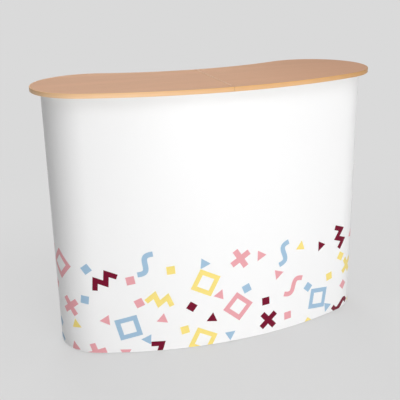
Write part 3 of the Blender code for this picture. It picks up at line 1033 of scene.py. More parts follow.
@dataclass
class Worktop:
    """Two boards with an edge band, joined by the seam hinge."""

    plan: Plan
    band: float = 0.003
    band_ease: float = 0.0016
    band_fit: float = 0.00005
    leaf_rebate: float = 0.0016
    leaf_inset: float = 0.030
    leaf_margin: float = 0.0003
    socket_radius: float = 0.0075
    socket_depth: float = 0.0085
    top_tolerance: float = 0.0001
    trim: float = 0.00012
    seam_ease: float = 0.0010
    board_finishes: tuple[Finish, ...] = (BEECH, BACKING, RAW_BOARD)
    band_finishes: tuple[Finish, ...] = (EDGE, CUT_BAND)

    def board(self) -> Mesh:
        """Right-hand board, rebated for the leaf and with sockets for the posts' spigots.

        Returns:
            The board, with its material numbers set.
        """
        plan = self.plan
        front = plan.front_y + self.leaf_inset - self.leaf_margin
        inset = self.trim + self.band + self.band_fit
        outline = plan.outline(inset)
        rear = outline[-1][1] + inset - self.leaf_inset + self.leaf_margin
        seam = plan.seam / 2
        outline += [(seam, rear), (self.leaf_rebate, rear), (self.leaf_rebate, front), (seam, front)]
        solid = prism(outline, plan.underside, plan.height)
        socket = rod(self.socket_radius, -self.socket_depth, self.socket_depth)
        spots = [plan.place(1, radius, plan.underside) for radius in (plan.front_line, plan.rear_line)]
        solid = cut(solid, [moved(socket, spot) for spot in spots])
        for face in solid.polygons:
            height = face.center.z
            finish = RAW_BOARD
            if face.normal.z > LEVEL_FACE and height > plan.height - self.top_tolerance:
                finish = BEECH
            elif face.normal.z < -LEVEL_FACE and height < plan.underside + self.top_tolerance:
                finish = BACKING
            face.material_index = self.board_finishes.index(finish)
        return solid

    def edge_band(self) -> Mesh:
        """Right-hand edge band with eased corners.

        Returns:
            The band, with its material numbers set.
        """
        plan = self.plan
        ease = self.band_ease
        low = arc((ease, ease), ease, 3 * QUARTER, 2 * QUARTER, EASE_STEPS)
        high = arc((ease, plan.thickness - ease), ease, 2 * QUARTER, QUARTER, EASE_STEPS)
        section = [(self.band, 0.0), *low, *high, (self.band, plan.thickness)]
        lines = [plan.outline(self.trim + inset) for inset, _ in section]
        rings = []
        for points in zip(*lines):
            rings.append([(x, y, plan.underside + rise) for (x, y), (_, rise) in zip(points, section)])
        first = self.eased(rings[0], rings[1])
        last = self.eased(rings[-1], rings[-2])
        band = lofted([first, *rings, last])
        for cap in band.polygons[-2:]:
            cap.material_index = self.band_finishes.index(CUT_BAND)
        return band

    def eased(self, ring: list[Sequence[float]], following: list[Sequence[float]]) -> list[Sequence[float]]:
        """Move a band's end ring along it by the seam's easing.

        Args:
            ring: The end ring, which moves.
            following: The ring after it.

        Returns:
            A smaller ring in the old place.
        """
        centre = sum((Vector(point) for point in ring), Vector()) / len(ring)
        tip = []
        for i, (point, other) in enumerate(zip(ring, following)):
            here = Vector(point)
            inward = centre - here
            inward.x = 0.0
            tip.append(tuple(here + inward.normalized() * min(self.seam_ease, inward.length / 2)))
            along = (Vector(other) - here).normalized()
            ring[i] = tuple(here + along * self.seam_ease)
        return tip

    def build(self, nodes: dict[str, bpy.types.Object]) -> None:
        """Build both halves and dress the hinge.

        Args:
            nodes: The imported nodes.
        """
        right = (self.board(), self.edge_band())
        left = tuple(mirrored(mesh, (1, 0, 0)) for mesh in right)
        for side, (board, band) in (("right", right), ("left", left)):
            body = f"worktop_{side}"
            add_piece(f"board_{side}", board, self.board_finishes, body, [body])
            add_piece(f"band_{side}", band, self.band_finishes, body, [f"edging_{side}"])
            dress(nodes[f"hinge_leaf_{side}"], BRASS)
        dress(nodes["hinge_pin"], STEEL)


def dress(node: bpy.types.Object, finish: Finish) -> None:
    """Give a carried node its finish.

    Args:
        node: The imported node.
        finish: The finish.
    """
    node.data.materials.clear()
    node.data.materials.append(finish.material())
    log.info("%s: dressed with %s", node.name, finish.name)


class Motif(Enum):
    """Shapes of the printed pattern."""

    TRIANGLE = "triangle"
    SQUARE = "square"
    FRAME = "frame"
    CROSS = "cross"
    ZIGZAG = "zigzag"
    WAVE = "wave"


LARGE_MOTIFS = (Motif.FRAME, Motif.CROSS, Motif.ZIGZAG, Motif.WAVE)
SMALL_MOTIFS = (Motif.TRIANGLE, Motif.SQUARE)


@dataclass
class PanelPrint:
    """Pattern of loose motifs along the panel's foot, as thin shapes that follow its curve."""

    plan: Plan
    seed: int = 11
    tries: int = 6000
    large_room: float = 0.074
    small_room: float = 0.046
    mixed_room: float = 0.072
    middle_height: float = 0.345
    end_rise: float = 0.120
    triangle_radius: float = 0.024
    square_half: float = 0.0155
    frame_half: float = 0.042
    frame_band: float = 0.018
    cross_half: float = 0.040
    cross_share: float = 1.15
    stroke_half: float = 0.0098
    stroke_reach: float = 0.048
    stroke_swing: float = 0.016
    mitre_limit: float = 0.4
    wave_steps: int = 24
    slice_width: float = 0.008
    edge_margin: float = 0.0002
    sliver: float = 0.00001
    weld: float = 0.000001
    ink_rise: float = 0.00012
    ink_depth: float = 0.00005
    inks: tuple[tuple[Finish, float], ...] = ((BLUE, 0.31), (YELLOW, 0.25), (PINK, 0.26), (MAROON, 0.18))

    @property
    def front_length(self) -> float:
        """Half the length of the panel's front arc."""
        return self.plan.panel_radius * self.plan.end_turn

    @property
    def round_length(self) -> float:
        """Length from the panel's middle to the end of its half round."""
        return self.front_length + math.pi * self.plan.panel_end_radius

    @property
    def half_length(self) -> float:
        """Length from the panel's middle to its rear edge."""
        plan = self.plan
        return self.round_length + plan.panel_rear_radius * (plan.end_turn - plan.rear_edge_turn)

    def wrapped(self, along: float, rise: float) -> Flat:
        """Place in X and Y of a point of the sheet.

        Args:
            along: Length from the panel's middle, to the right.
            rise: Height over the panel's outer face.

        Returns:
            X and Y.
        """
        plan = self.plan
        side = math.copysign(1.0, along)
        length = abs(along)
        if length <= self.front_length:
            angle = length / plan.panel_radius
            radius = plan.panel_radius + rise
            return side * radius * math.sin(angle), plan.centre_y - radius * math.cos(angle)
        if length > self.round_length:
            angle = plan.end_turn - (length - self.round_length) / plan.panel_rear_radius
            radius = plan.panel_rear_radius - rise
            return side * radius * math.sin(angle), plan.centre_y - radius * math.cos(angle)
        middle = plan.panel_radius - plan.panel_end_radius
        angle = plan.end_turn + (length - self.front_length) / plan.panel_end_radius
        radius = plan.panel_end_radius + rise
        x = middle * math.sin(plan.end_turn) + radius * math.sin(angle)
        y = plan.centre_y - middle * math.cos(plan.end_turn) - radius * math.cos(angle)
        return side * x, y

    def stroke(self, line: Sequence[Flat]) -> list[list[Flat]]:
        """Quads of an even stroke along a line.

        Args:
            line: Points along the stroke's middle.

        Returns:
            The quads.
        """
        sides: list[tuple[Vector, Vector]] = []
        for i, point in enumerate(line):
            here = Vector(point)
            before = (here - Vector(line[i - 1])).normalized() if i else None
            after = (Vector(line[i + 1]) - here).normalized() if i < len(line) - 1 else None
            first = before or after
            second = after or before
            across = (first + second).normalized().orthogonal()
            across *= self.stroke_half / max(across.dot(first.orthogonal()), self.mitre_limit)
            sides.append((here + across, here - across))
        return [[a[0], b[0], b[1], a[1]] for a, b in zip(sides, sides[1:])]

    def faces(self, motif: Motif) -> list[list[Flat]]:
        """Faces of a motif about its middle.

        Args:
            motif: The motif.

        Returns:
            Outlines of its faces, which share their edges.
        """
        if motif is Motif.TRIANGLE:
            return [arc((0, 0), self.triangle_radius, 0, 2 * math.pi, 3)[:-1]]
        if motif is Motif.SQUARE:
            half = self.square_half
            return [[(-half, -half), (half, -half), (half, half), (-half, half)]]
        if motif is Motif.FRAME:
            outer = self.frame_half
            inner = outer - self.frame_band
            corners = ((-1, -1), (1, -1), (1, 1), (-1, 1))
            rims = [[(size * x, size * y) for x, y in corners] for size in (outer, inner)]
            quads = []
            for i in range(4):
                j = (i + 1) % 4
                quads.append([rims[0][i], rims[0][j], rims[1][j], rims[1][i]])
            return quads
        if motif is Motif.CROSS:
            long, wide = self.cross_half, self.cross_share * self.stroke_half
            return [
                [(-wide, -long), (wide, -long), (wide, -wide), (-wide, -wide)],
                [(-long, -wide), (-wide, -wide), (-wide, wide), (-long, wide)],
                [(-wide, -wide), (wide, -wide), (wide, wide), (-wide, wide)],
                [(wide, -wide), (long, -wide), (long, wide), (wide, wide)],
                [(-wide, wide), (wide, wide), (wide, long), (-wide, long)],
            ]
        reach, swing = self.stroke_reach, self.stroke_swing
        if motif is Motif.ZIGZAG:
            knees = ((-1.0, -1), (-0.5, 1), (0.0, -1), (0.5, 1), (1.0, -1))
            return self.stroke([(reach * x, swing * y) for x, y in knees])
        places = [2 * i / self.wave_steps - 1 for i in range(self.wave_steps + 1)]
        return self.stroke([(reach * x, swing * math.sin(math.pi * x)) for x in places])

    def layout(self) -> list[tuple[Motif, Finish, float, float, float]]:
        """Motif, ink, place along, height and turn of every motif, by dart throwing.

        Returns:
            One row for each motif.
        """
        dice = random.Random(self.seed)
        inks = [ink for ink, _ in self.inks]
        shares = [share for _, share in self.inks]
        placed: list[tuple[Motif, Finish, float, float, float]] = []
        for kinds, own_room in ((LARGE_MOTIFS, self.large_room), (SMALL_MOTIFS, self.small_room)):
            order = 0
            for _ in range(self.tries):
                along = dice.uniform(-self.half_length, self.half_length)
                height = dice.uniform(0.0, self.middle_height + self.end_rise)
                limit = self.middle_height + self.end_rise * (along / self.half_length) ** 2
                angle = dice.uniform(0.0, 2 * math.pi)
                ink = dice.choices(inks, shares)[0]
                if height > limit:
                    continue
                if all(
                    math.hypot(along - u, height - v) > self.room(kinds, other, own_room)
                    for other, _, u, v, _ in placed
                ):
                    placed.append((kinds[order % len(kinds)], ink, along, height, angle))
                    order += 1
        return placed

    def room(self, kinds: Sequence[Motif], other: Motif, own_room: float) -> float:
        """Least distance between the middles of two motifs.

        Args:
            kinds: Kinds being placed.
            other: Motif already there.
            own_room: Half the distance between two of those kinds.

        Returns:
            The distance.
        """
        if (other in LARGE_MOTIFS) == (kinds is LARGE_MOTIFS):
            return 2 * own_room
        return self.mixed_room

    def sheet(self, ink: Finish, low: float) -> Mesh:
        """All motifs of one ink, sliced, thickened and wrapped round the panel.

        Args:
            ink: The ink.
            low: Height of the panel's lower edge.

        Returns:
            The mesh.
        """
        shape = bmesh.new()
        for motif, own, along, height, angle in self.layout():
            if own is not ink:
                continue
            spin = Matrix.Rotation(angle, 2)
            made: list[bmesh.types.BMVert] = []
            for outline in self.faces(motif):
                points = [spin @ Vector(point) for point in outline]
                corners = [shape.verts.new((along + p.x, height + p.y, 0)) for p in points]
                shape.faces.new(corners)
                made += corners
            bmesh.ops.remove_doubles(shape, verts=made, dist=self.weld)
        self.slice(shape, low)
        bmesh.ops.dissolve_degenerate(shape, dist=self.sliver, edges=shape.edges[:])
        shape.normal_update()
        bmesh.ops.reverse_faces(shape, faces=[face for face in shape.faces if face.normal.z < 0])
        for vert in shape.verts:
            vert.co.z = -self.ink_depth
        for item in bmesh.ops.extrude_face_region(shape, geom=shape.faces[:])["geom"]:
            if isinstance(item, bmesh.types.BMVert):
                item.co.z = self.ink_rise
        for vert in shape.verts:
            x, y = self.wrapped(vert.co.x, vert.co.z)
            vert.co = (x, y, vert.co.y)
        bmesh.ops.recalc_face_normals(shape, faces=shape.faces)
        return written(shape)

    def slice(self, shape: bmesh.types.BMesh, low: float) -> None:
        """Cut flat motifs at the panel's edges and into narrow strips that can follow the curve.

        Args:
            shape: The motifs, flat in X and Y, which are changed.
            low: Height of the panel's lower edge.
        """
        def everything() -> list[Any]:
            """All that the shape holds now."""
            return shape.verts[:] + shape.edges[:] + shape.faces[:]

        bmesh.ops.triangulate(shape, faces=shape.faces[:])
        edge = self.half_length - self.edge_margin
        limits = (((0, low + self.edge_margin), (0, -1)), ((-edge, 0), (-1, 0)), ((edge, 0), (1, 0)))
        for spot, outward in limits:
            bmesh.ops.bisect_plane(
                shape, geom=everything(), plane_co=(*spot, 0), plane_no=(*outward, 0), clear_outer=True,
            )
        count = math.ceil(self.half_length / self.slice_width)
        for i in range(-count, count + 1):
            bmesh.ops.bisect_plane(
                shape, geom=everything(), plane_co=(i * self.slice_width, 0, 0), plane_no=(1, 0, 0),
            )

    def build(self, low: float) -> None:
        """Build one piece for each ink.

        Args:
            low: Height of the panel's lower edge.
        """
        for ink, _ in self.inks:
            name = ink.name.replace("ink_", "")
            add_piece(name, self.sheet(ink, low), (ink,), "frame")


@dataclass
class WrapPanel:
    """Thin sheet round the front and both ends, with its hanger."""

    plan: Plan
    sheet: float = 0.001
    floor_gap: float = 0.006
    top_gap: float = 0.003
    rear_steps: int = 4
    finishes: tuple[Finish, ...] = (FILM, FILM_BACK, FILM_CUT)

    def line(self, inset: float) -> list[Flat]:
        """Panel's line from its left rear edge to its right one, inset from its outer face.

        Args:
            inset: Distance inside the outer face.

        Returns:
            Points in X and Y.
        """
        plan = self.plan
        end_turn = plan.end_turn
        middle = plan.panel_radius - plan.panel_end_radius
        centre = (0.0, plan.centre_y)
        end = (middle * math.sin(end_turn), plan.centre_y - middle * math.cos(end_turn))
        start = end_turn - QUARTER
        right = chain(
            arc(centre, plan.panel_radius - inset, -QUARTER, start, 2 * ROUND_STEPS),
            arc(end, plan.panel_end_radius - inset, start, end_turn + QUARTER, 2 * ROUND_STEPS),
            arc(
                centre, plan.panel_rear_radius + inset, start, plan.rear_edge_turn - QUARTER, self.rear_steps,
            ),
        )
        return chain([(-x, y) for x, y in reversed(right)], right)

    def build(self, nodes: dict[str, bpy.types.Object]) -> None:
        """Build the sheet and its print, and dress the hanger.

        Args:
            nodes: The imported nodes.
        """
        low = self.floor_gap
        high = self.plan.underside - self.top_gap
        rings = []
        for (x0, y0), (x1, y1) in zip(self.line(0), self.line(self.sheet)):
            rings.append([(x0, y0, low), (x1, y1, low), (x1, y1, high), (x0, y0, high)])
        mesh = lofted(rings)
        round_ring = (FILM_CUT, FILM_BACK, FILM_CUT, FILM)
        caps = len(mesh.polygons) - 2
        for face in mesh.polygons:
            finish = round_ring[face.index % len(round_ring)] if face.index < caps else FILM_CUT
            face.material_index = self.finishes.index(finish)
        add_piece("panel_sheet", mesh, self.finishes, "frame", ["panel"])
        PanelPrint(self.plan).build(low)
        dress(nodes["panel_hanger"], HANGER_PLASTIC)


@dataclass
class HubSet:
    """Moulded hubs with their pins, pegs, feet, posts and locking brackets."""

    plan: Plan
    thickness: float = 0.022
    tongue: float = 0.005
    pin_radius: float = 0.002
    slot_play: float = 0.0004
    floor_play: float = 0.001
    edge_round: float = 0.0008
    web_inset: float = 0.0026
    web_depth: float = 0.0012
    web_corner: float = 0.0015
    boss_room: float = 0.010
    boss_radius: float = 0.0062
    boss_rise: float = 0.0006
    boss_lip: float = 0.0012
    boss_slope: float = 0.0018
    boss_well: float = 0.0004
    screw_radius: float = 0.0032
    screw_depth: float = 0.0002
    peg_radius: float = 0.003
    peg_head_radius: float = 0.005
    peg_neck: float = 0.0026
    peg_head: float = 0.002
    peg_ease: float = 0.0004
    peg_dome: float = 0.0006
    sink: float = 0.002
    pad_radius: float = 0.018
    pad_height: float = 0.010
    pad_ease: float = 0.0015
    pad_top_share: float = 0.4
    groove_heights: tuple[float, float, float, float] = (0.0042, 0.0048, 0.0056, 0.0062)
    groove_depth: float = 0.0008
    stem_radius: float = 0.009
    collar: tuple[Flat, ...] = ((0.003, 0.0), (0.0025, 0.0015), (-0.0005, 0.003))
    post_radius: float = 0.010
    post_ease: float = 0.001
    spigot_radius: float = 0.006
    spigot_height: float = 0.007
    spigot_ease: float = 0.0015
    rib_half: float = 0.0008
    rib_reach: float = 0.004
    rib_height: float = 0.006
    rib_edge: float = 0.0003
    bracket_offset: float = 0.011
    bracket_plate: float = 0.003
    bracket_depth: float = 0.016
    bracket_half_height: float = 0.007
    bracket_edge: float = 0.0006
    stub_radius: float = 0.0025
    stub_head_radius: float = 0.004
    stub_head: float = 0.0015
    stub_rim: float = 0.0009
    stub_dome: float = 0.0006
    arm_thickness: float = 0.004
    finishes: tuple[Finish, ...] = (HUB_PLASTIC, STEEL, RUBBER)

    @property
    def half(self) -> float:
        """Half the hub's thickness."""
        return self.thickness / 2

    @property
    def slot(self) -> Flat:
        """Offsets of a slot's two walls from the hub's middle."""
        half = self.tongue / 2 + self.slot_play
        return self.plan.pair_offset - half, self.plan.pair_offset + half

    @property
    def corner(self) -> float:
        """Offset of the octagon's corners from the middles of its sides."""
        return self.plan.hub_half_width * math.tan(math.pi / 8)

    def pockets(self) -> list[Mesh]:
        """Shallow pockets in both faces, which leave a web along the slots, the edges and the boss.

        Returns:
            Closed shapes to cut out of the body.
        """
        side = self.plan.hub_half_width
        near = self.slot[0] - self.web_inset
        start = self.slot[1] + self.web_inset
        far = side - self.web_inset
        slant = side + self.corner - self.web_inset * math.sqrt(2)
        room = self.boss_room + near
        large = [
            (room, near), (-near, -room), (-near, -far), (slant - far, -far), (far, far - slant), (far, near),
        ]
        small = [(start, start), (slant - start, start), (start, slant - start)]
        cutters = []
        for outline in (large, small):
            corners = rounded(outline, self.web_corner)
            pocket = prism(corners, self.half - self.web_depth, self.half + self.sink)
            pair = [pocket, moved(pocket, turn("Z", math.pi))]
            cutters += pair + [mirrored(other, UP) for other in pair]
        return cutters

    def body(self) -> Mesh:
        """Octagonal body with a slot in each side and shallow pockets in each face.

        Returns:
            The body, its faces to the front and rear.
        """
        side, corner = self.plan.hub_half_width, self.corner
        low, high = self.slot
        floor = self.plan.pivot - self.plan.tube_radius - self.floor_play
        right = [(side, -corner), (side, low), (floor, low), (floor, high), (side, high), (side, corner)]
        upper = [(z, x) for x, z in reversed(right)]
        half = right + upper
        outline = half + [(-x, -z) for x, z in half]
        solid = bevelled(prism(outline, -self.half, self.half), self.edge_round)
        return moved(cut(solid, self.pockets()), turn("X"))

    def parts(self) -> Parts:
        """Body, cross pins, boss and peg.

        Returns:
            Meshes with their finishes.
        """
        low, high = self.slot
        pin = rod(self.pin_radius, low - self.sink, high + self.sink)
        pins = [shifted(pin, x=self.plan.pivot), shifted(moved(pin, turn("Y")), z=self.plan.pivot)]
        pins += [moved(other, turn("Y", math.pi)) for other in pins]
        base = self.half - self.sink
        end, head, ease = self.half + self.peg_neck, self.peg_head_radius, self.peg_ease
        peg = turned([
            (self.peg_radius, base), (self.peg_radius, end), (head - ease, end), (head, end + ease),
            (head, end + self.peg_head - self.peg_dome), (head - self.peg_dome, end + self.peg_head),
        ])
        rim, rise = self.boss_radius, self.half + self.boss_rise
        boss = turned([
            (rim, base), (rim, rise), (rim - self.boss_lip, rise),
            (rim - self.boss_slope, self.half - self.boss_well),
        ])
        screw = rod(self.screw_radius, base, self.half - self.screw_depth)
        outward, inward = turn("X"), turn("X", -QUARTER)
        plastic = [self.body(), moved(peg, outward), moved(boss, inward)]
        steel = [moved(screw, inward), *pins]
        return [(mesh, HUB_PLASTIC) for mesh in plastic] + [(mesh, STEEL) for mesh in steel]

    def foot(self) -> Parts:
        """Stem and rubber pad under a bottom hub.

        Returns:
            Meshes with their finishes.
        """
        floor = -(self.plan.foot_height + self.plan.hub_half_width)
        top = floor + self.pad_height
        ease, wide = self.pad_ease, self.pad_radius
        bend = self.pad_top_share * ease
        depths = (0.0, self.groove_depth, self.groove_depth, 0.0)
        groove = [(wide - depth, floor + height) for depth, height in zip(depths, self.groove_heights)]
        pad = [
            (wide - ease, floor), (wide, floor + ease), *groove, (wide, top - ease),
            (wide - bend, top - bend), (wide - ease, top),
        ]
        stem = rod(self.stem_radius, top - self.sink, -self.plan.hub_half_width + self.sink)
        collar = turned([(self.stem_radius + wider, top + rise) for wider, rise in self.collar])
        return [(turned(pad, ROUND_STEPS), RUBBER), (stem, HUB_PLASTIC), (collar, HUB_PLASTIC)]

    def post(self, with_spigot: bool) -> Parts:
        """Post on a top hub; the outer ones have a spigot.

        Args:
            with_spigot: Whether it has a spigot.

        Returns:
            Meshes with their finishes.
        """
        low = self.plan.hub_half_width - self.sink
        top = self.plan.hub_half_width + self.plan.post_height
        wide, ease = self.post_radius, self.post_ease
        profile = [(wide, low), (wide, top - ease), (wide - ease, top)]
        if with_spigot:
            slim, ease, tip = self.spigot_radius, self.spigot_ease, top + self.spigot_height
            profile += [(slim, top), (slim, tip - ease), (slim - ease, tip)]
        rib = bevelled(box(
            (-self.rib_half, wide / 2, low), (self.rib_half, wide + self.rib_reach, low + self.rib_height),
        ), self.rib_edge)
        ribs = [moved(rib, turn("Z", (i + 0.5) * QUARTER)) for i in range(4)]
        return [(mesh, HUB_PLASTIC) for mesh in (turned(profile), *ribs)]

    def bracket(self) -> Parts:
        """Plate with a headed stub for the locking arm.

        Returns:
            Meshes with their finishes.
        """
        tall = self.bracket_half_height
        plate = box(
            (self.bracket_offset, self.half - self.sink, -tall),
            (self.bracket_offset + self.bracket_plate, self.half + self.bracket_depth, tall),
        )
        start = self.bracket_offset + self.bracket_plate / 2
        end = self.bracket_offset + self.bracket_plate + self.arm_thickness + 2 * self.plan.gap
        head = self.stub_head_radius
        stub = turned([
            (self.stub_radius, start), (self.stub_radius, end), (head, end), (head, end + self.stub_rim),
            (head - self.stub_dome, end + self.stub_head),
        ])
        stub = shifted(moved(stub, turn("Y")), y=self.half + self.bracket_depth / 2)
        return [(bevelled(plate, self.bracket_edge), HUB_PLASTIC), (stub, STEEL)]

    def build(self) -> None:
        """Build the hubs of all rows, layers and columns."""
        plain = self.parts()
        for layer in Layer:
            stub = self.bracket()
            if layer is Layer.REAR:
                stub = [(mirrored(mesh, (1, 0, 0)), finish) for mesh, finish in stub]
            for column in Column:
                centre = column is Column.CENTRE
                extras = {
                    "bottom": self.foot() + (stub if centre else []),
                    "middle": stub if centre else [],
                    "top": self.post(not centre),
                }
                for row, height in zip(ROWS, self.plan.rows):
                    label = f"{row}_{layer.value}_{column.label}"
                    mesh = joined(plain + extras[row], self.finishes)
                    place = self.plan.layer_place(layer, column.step, height)
                    add_piece(
                        f"moulded_hub_{label}", mesh, self.finishes, "frame",
                        [f"hub_{label}"], place,
                    )


@dataclass
class StrutSet:
    """Round tubes with pressed ends, in crossing pairs riveted at their crossings."""

    plan: Plan
    tongue_half: float = 0.0025
    tongue_length: float = 0.016
    tip_degrees: tuple[float, ...] = (14, 32, 50, 70, 90)
    taper: float = 0.010
    taper_shares: tuple[float, ...] = (0.25, 0.5, 0.75, 1.0)
    flattening: float = 0.5
    eye_radius: float = 0.0023
    rivet_radius: float = 0.002
    rivet_head_radius: float = 0.0045
    rivet_head: float = 0.0015
    rivet_dome: tuple[Flat, ...] = ((1.0, 0.0), (0.8, 0.7), (0.35, 1.0))
    finishes: tuple[Finish, ...] = (TUBE, STEEL)

    @property
    def radius(self) -> float:
        """Radius of the tube."""
        return self.plan.tube_radius

    def section(self, width: float, flatness: float) -> list[Flat]:
        """Section from round, at flatness 0, to a pressed tongue at 1.

        Args:
            width: Half its width.
            flatness: From 0 to 1.

        Returns:
            Its points.
        """
        power = 1.0 - self.flattening * flatness
        half = self.radius + (self.tongue_half - self.radius) * flatness
        points = []
        for i in range(SMALL_STEPS):
            angle = 2 * math.pi * i / SMALL_STEPS
            c, s = math.cos(angle), math.sin(angle)
            y, z = math.copysign(abs(c) ** power, c), math.copysign(abs(s) ** power, s)
            points.append((width * y, half * z))
        return points

    def tube(self) -> Mesh:
        """Tube along X with an eye near each end.

        Returns:
            The mesh.
        """
        near: list[tuple[float, list[Flat]]] = []
        for degrees in self.tip_degrees:
            angle = math.radians(degrees)
            near.append((-self.radius * math.cos(angle), self.section(self.radius * math.sin(angle), 1.0)))
        near.append((self.tongue_length, self.section(self.radius, 1.0)))
        for share in self.taper_shares:
            flat = 1.0 - share * share * (3 - 2 * share)
            near.append((self.tongue_length + self.taper * share, self.section(self.radius, flat)))
        length = self.plan.strut_length
        far = [(length - x, section) for x, section in reversed(near)]
        solid = lofted([[(x, y, z) for y, z in section] for x, section in near + far])
        eye = rod(self.eye_radius, -self.radius, self.radius)
        return cut(solid, [eye, shifted(eye, x=length)])

    def rivet(self) -> Mesh:
        """Rivet along Z through a strut and its partner below, domed at both ends.

        Returns:
            The mesh.
        """
        near, far = self.radius, 2 * self.plan.pair_offset + self.radius
        dome = [(share * self.rivet_head_radius, rise * self.rivet_head) for share, rise in self.rivet_dome]
        below = [(radius, -far - rise) for radius, rise in reversed(dome)]
        above = [(radius, near + rise) for radius, rise in dome]
        return turned([*below, (self.rivet_radius, -far), (self.rivet_radius, near), *above])

    def between(self, start: Vector, end: Vector, pin_axis: Vector) -> Matrix:
        """Place for a strut from one pivot to another.

        Args:
            start: First pivot.
            end: Second pivot.
            pin_axis: Direction of its eyes.

        Returns:
            The place.
        """
        x_axis = (end - start).normalized()
        y_axis = pin_axis.cross(x_axis)
        return Matrix.Translation(start) @ Matrix((x_axis, y_axis, pin_axis)).transposed().to_4x4()

    def lines(self, kind: str) -> tuple[float, float, float]:
        """Radii of a strut's start and end and its offset, for kind a or b.

        Args:
            kind: a or b.

        Returns:
            The two radii and the offset.
        """
        plan = self.plan
        if kind == "a":
            return plan.front_line, plan.rear_line, plan.pair_offset
        return plan.rear_line, plan.front_line, -plan.pair_offset

    def level(self, bay: int, height: float, kind: str) -> Matrix:
        """Place of a level strut between two columns.

        Args:
            bay: -1 for the left bay, 0 for the right.
            height: Height of its row.
            kind: a or b.

        Returns:
            The place.
        """
        near, far, offset = self.lines(kind)
        pivot = self.plan.pivot
        start = self.plan.place(bay, near, height) @ Vector((pivot, 0, offset))
        end = self.plan.place(bay + 1, far, height) @ Vector((-pivot, 0, offset))
        return self.between(start, end, UP)

    def upright(self, column: int, low: float, high: float, kind: str) -> Matrix:
        """Place of an upright strut between two rows.

        Args:
            column: Place along the curve.
            low: Height of the lower row.
            high: Height of the upper row.
            kind: a or b.

        Returns:
            The place.
        """
        near, far, offset = self.lines(kind)
        pivot = self.plan.pivot
        lower = self.plan.place(column, near, low)
        upper = self.plan.place(column, far, high)
        start = lower @ Vector((offset, 0, pivot))
        end = upper @ Vector((offset, 0, -pivot))
        return self.between(start, end, lower.to_3x3() @ Vector((1, 0, 0)))

    def add(self, name: str, tube: Mesh, matrix: Matrix, rivet_place: float | None) -> None:
        """Put one strut in the scene, with the rivet if it carries one.

        Args:
            name: The node's name.
            tube: The tube's mesh.
            matrix: Its place.
            rivet_place: Distance of the rivet along it, or None.
        """
        parts: Parts = [(tube, TUBE)]
        if rivet_place is not None:
            parts.append((shifted(self.rivet(), x=rivet_place), STEEL))
        mesh = joined(parts, self.finishes)
        add_piece(f"tube_{name}", mesh, self.finishes, "frame", [name], matrix)

    def build(self) -> None:
        """Build the level and the upright struts."""
        plan = self.plan
        tube = self.tube()
        chords = [
            2 * (line * math.sin(plan.half_angle) - plan.pivot * math.cos(plan.half_angle))
            for line in (plan.front_line, plan.rear_line)
        ]
        crossing = plan.strut_length * chords[0] / sum(chords)
        for row, height in zip(ROWS, plan.rows):
            for bay_name, bay in (("left", -1), ("right", 0)):
                for kind in "ab":
                    name = f"level_strut_{row}_{bay_name}_{kind}"
                    self.add(name, tube, self.level(bay, height, kind), crossing if kind == "a" else None)
        for level, (low, high) in zip(("lower", "upper"), zip(plan.rows, plan.rows[1:])):
            for column in Column:
                for kind in "ab":
                    name = f"upright_strut_{level}_{column.label}_{kind}"
                    matrix = self.upright(column.step, low, high, kind)
                    self.add(name, tube, matrix, plan.strut_length / 2 if kind == "a" else None)


@dataclass
class BarSet:
    """Channel bars with hook plates behind and magnetic tape on the outer face."""

    plan: Plan
    hub_half: float = 0.011
    depth: float = 0.012
    wall: float = 0.002
    tape_width: float = 0.020
    tape_height: float = 0.0015
    hook_height: float = 0.022
    slot: float = 0.0033
    floor_gap: float = 0.028
    hanger_height: float = 0.018
    top_gap: float = 0.003
    edge: float = 0.0004
    hook_edge: float = 0.0002
    finishes: tuple[Finish, ...] = (CHANNEL, TAPE)

    def mesh(self) -> Mesh:
        """One bar, placed as on hubs whose centres stand over the origin.

        Returns:
            The bar, with its material numbers set.
        """
        plan = self.plan
        half = plan.bar_width / 2
        inner = half - self.wall
        back = -(self.hub_half + plan.gap)
        face = back - self.depth
        top = plan.underside - self.top_gap - self.hanger_height - plan.gap
        outline = [
            (-half, face), (half, face), (half, back), (inner, back), (inner, face + self.wall),
            (-inner, face + self.wall), (-inner, back), (-half, back),
        ]
        channel = bevelled(prism(outline, self.floor_gap, top), self.edge)
        reach = self.tape_width / 2
        tape = box((-reach, face - self.tape_height, self.floor_gap), (reach, face + self.wall / 2, top))
        parts: Parts = [(channel, CHANNEL), (bevelled(tape, self.edge), TAPE)]
        side = half - self.wall / 2
        for height in plan.rows:
            low, high = height - self.hook_height / 2, height + self.hook_height / 2
            outline = [
                (-side, low), (-self.slot, low), (-self.slot, height), *crown((0, height), self.slot),
                (self.slot, height), (self.slot, low), (side, low), (side, high), (-side, high),
            ]
            plate = moved(prism(outline, 0, self.wall), turn("X"))
            parts.append((bevelled(shifted(plate, y=back), self.hook_edge, 1), CHANNEL))
        return joined(parts, self.finishes)

    def build(self) -> None:
        """Build three front bars and two rear ones."""
        places = [(Layer.FRONT, column) for column in Column]
        places += [(Layer.REAR, Column.LEFT), (Layer.REAR, Column.RIGHT)]
        mesh = self.mesh()
        for layer, column in places:
            label = f"{layer.value}_{column.label}"
            add_piece(
                f"channel_{label}", mesh.copy(), self.finishes, "frame", [f"bar_{label}"],
                self.plan.layer_place(layer, column.step, 0),
            )


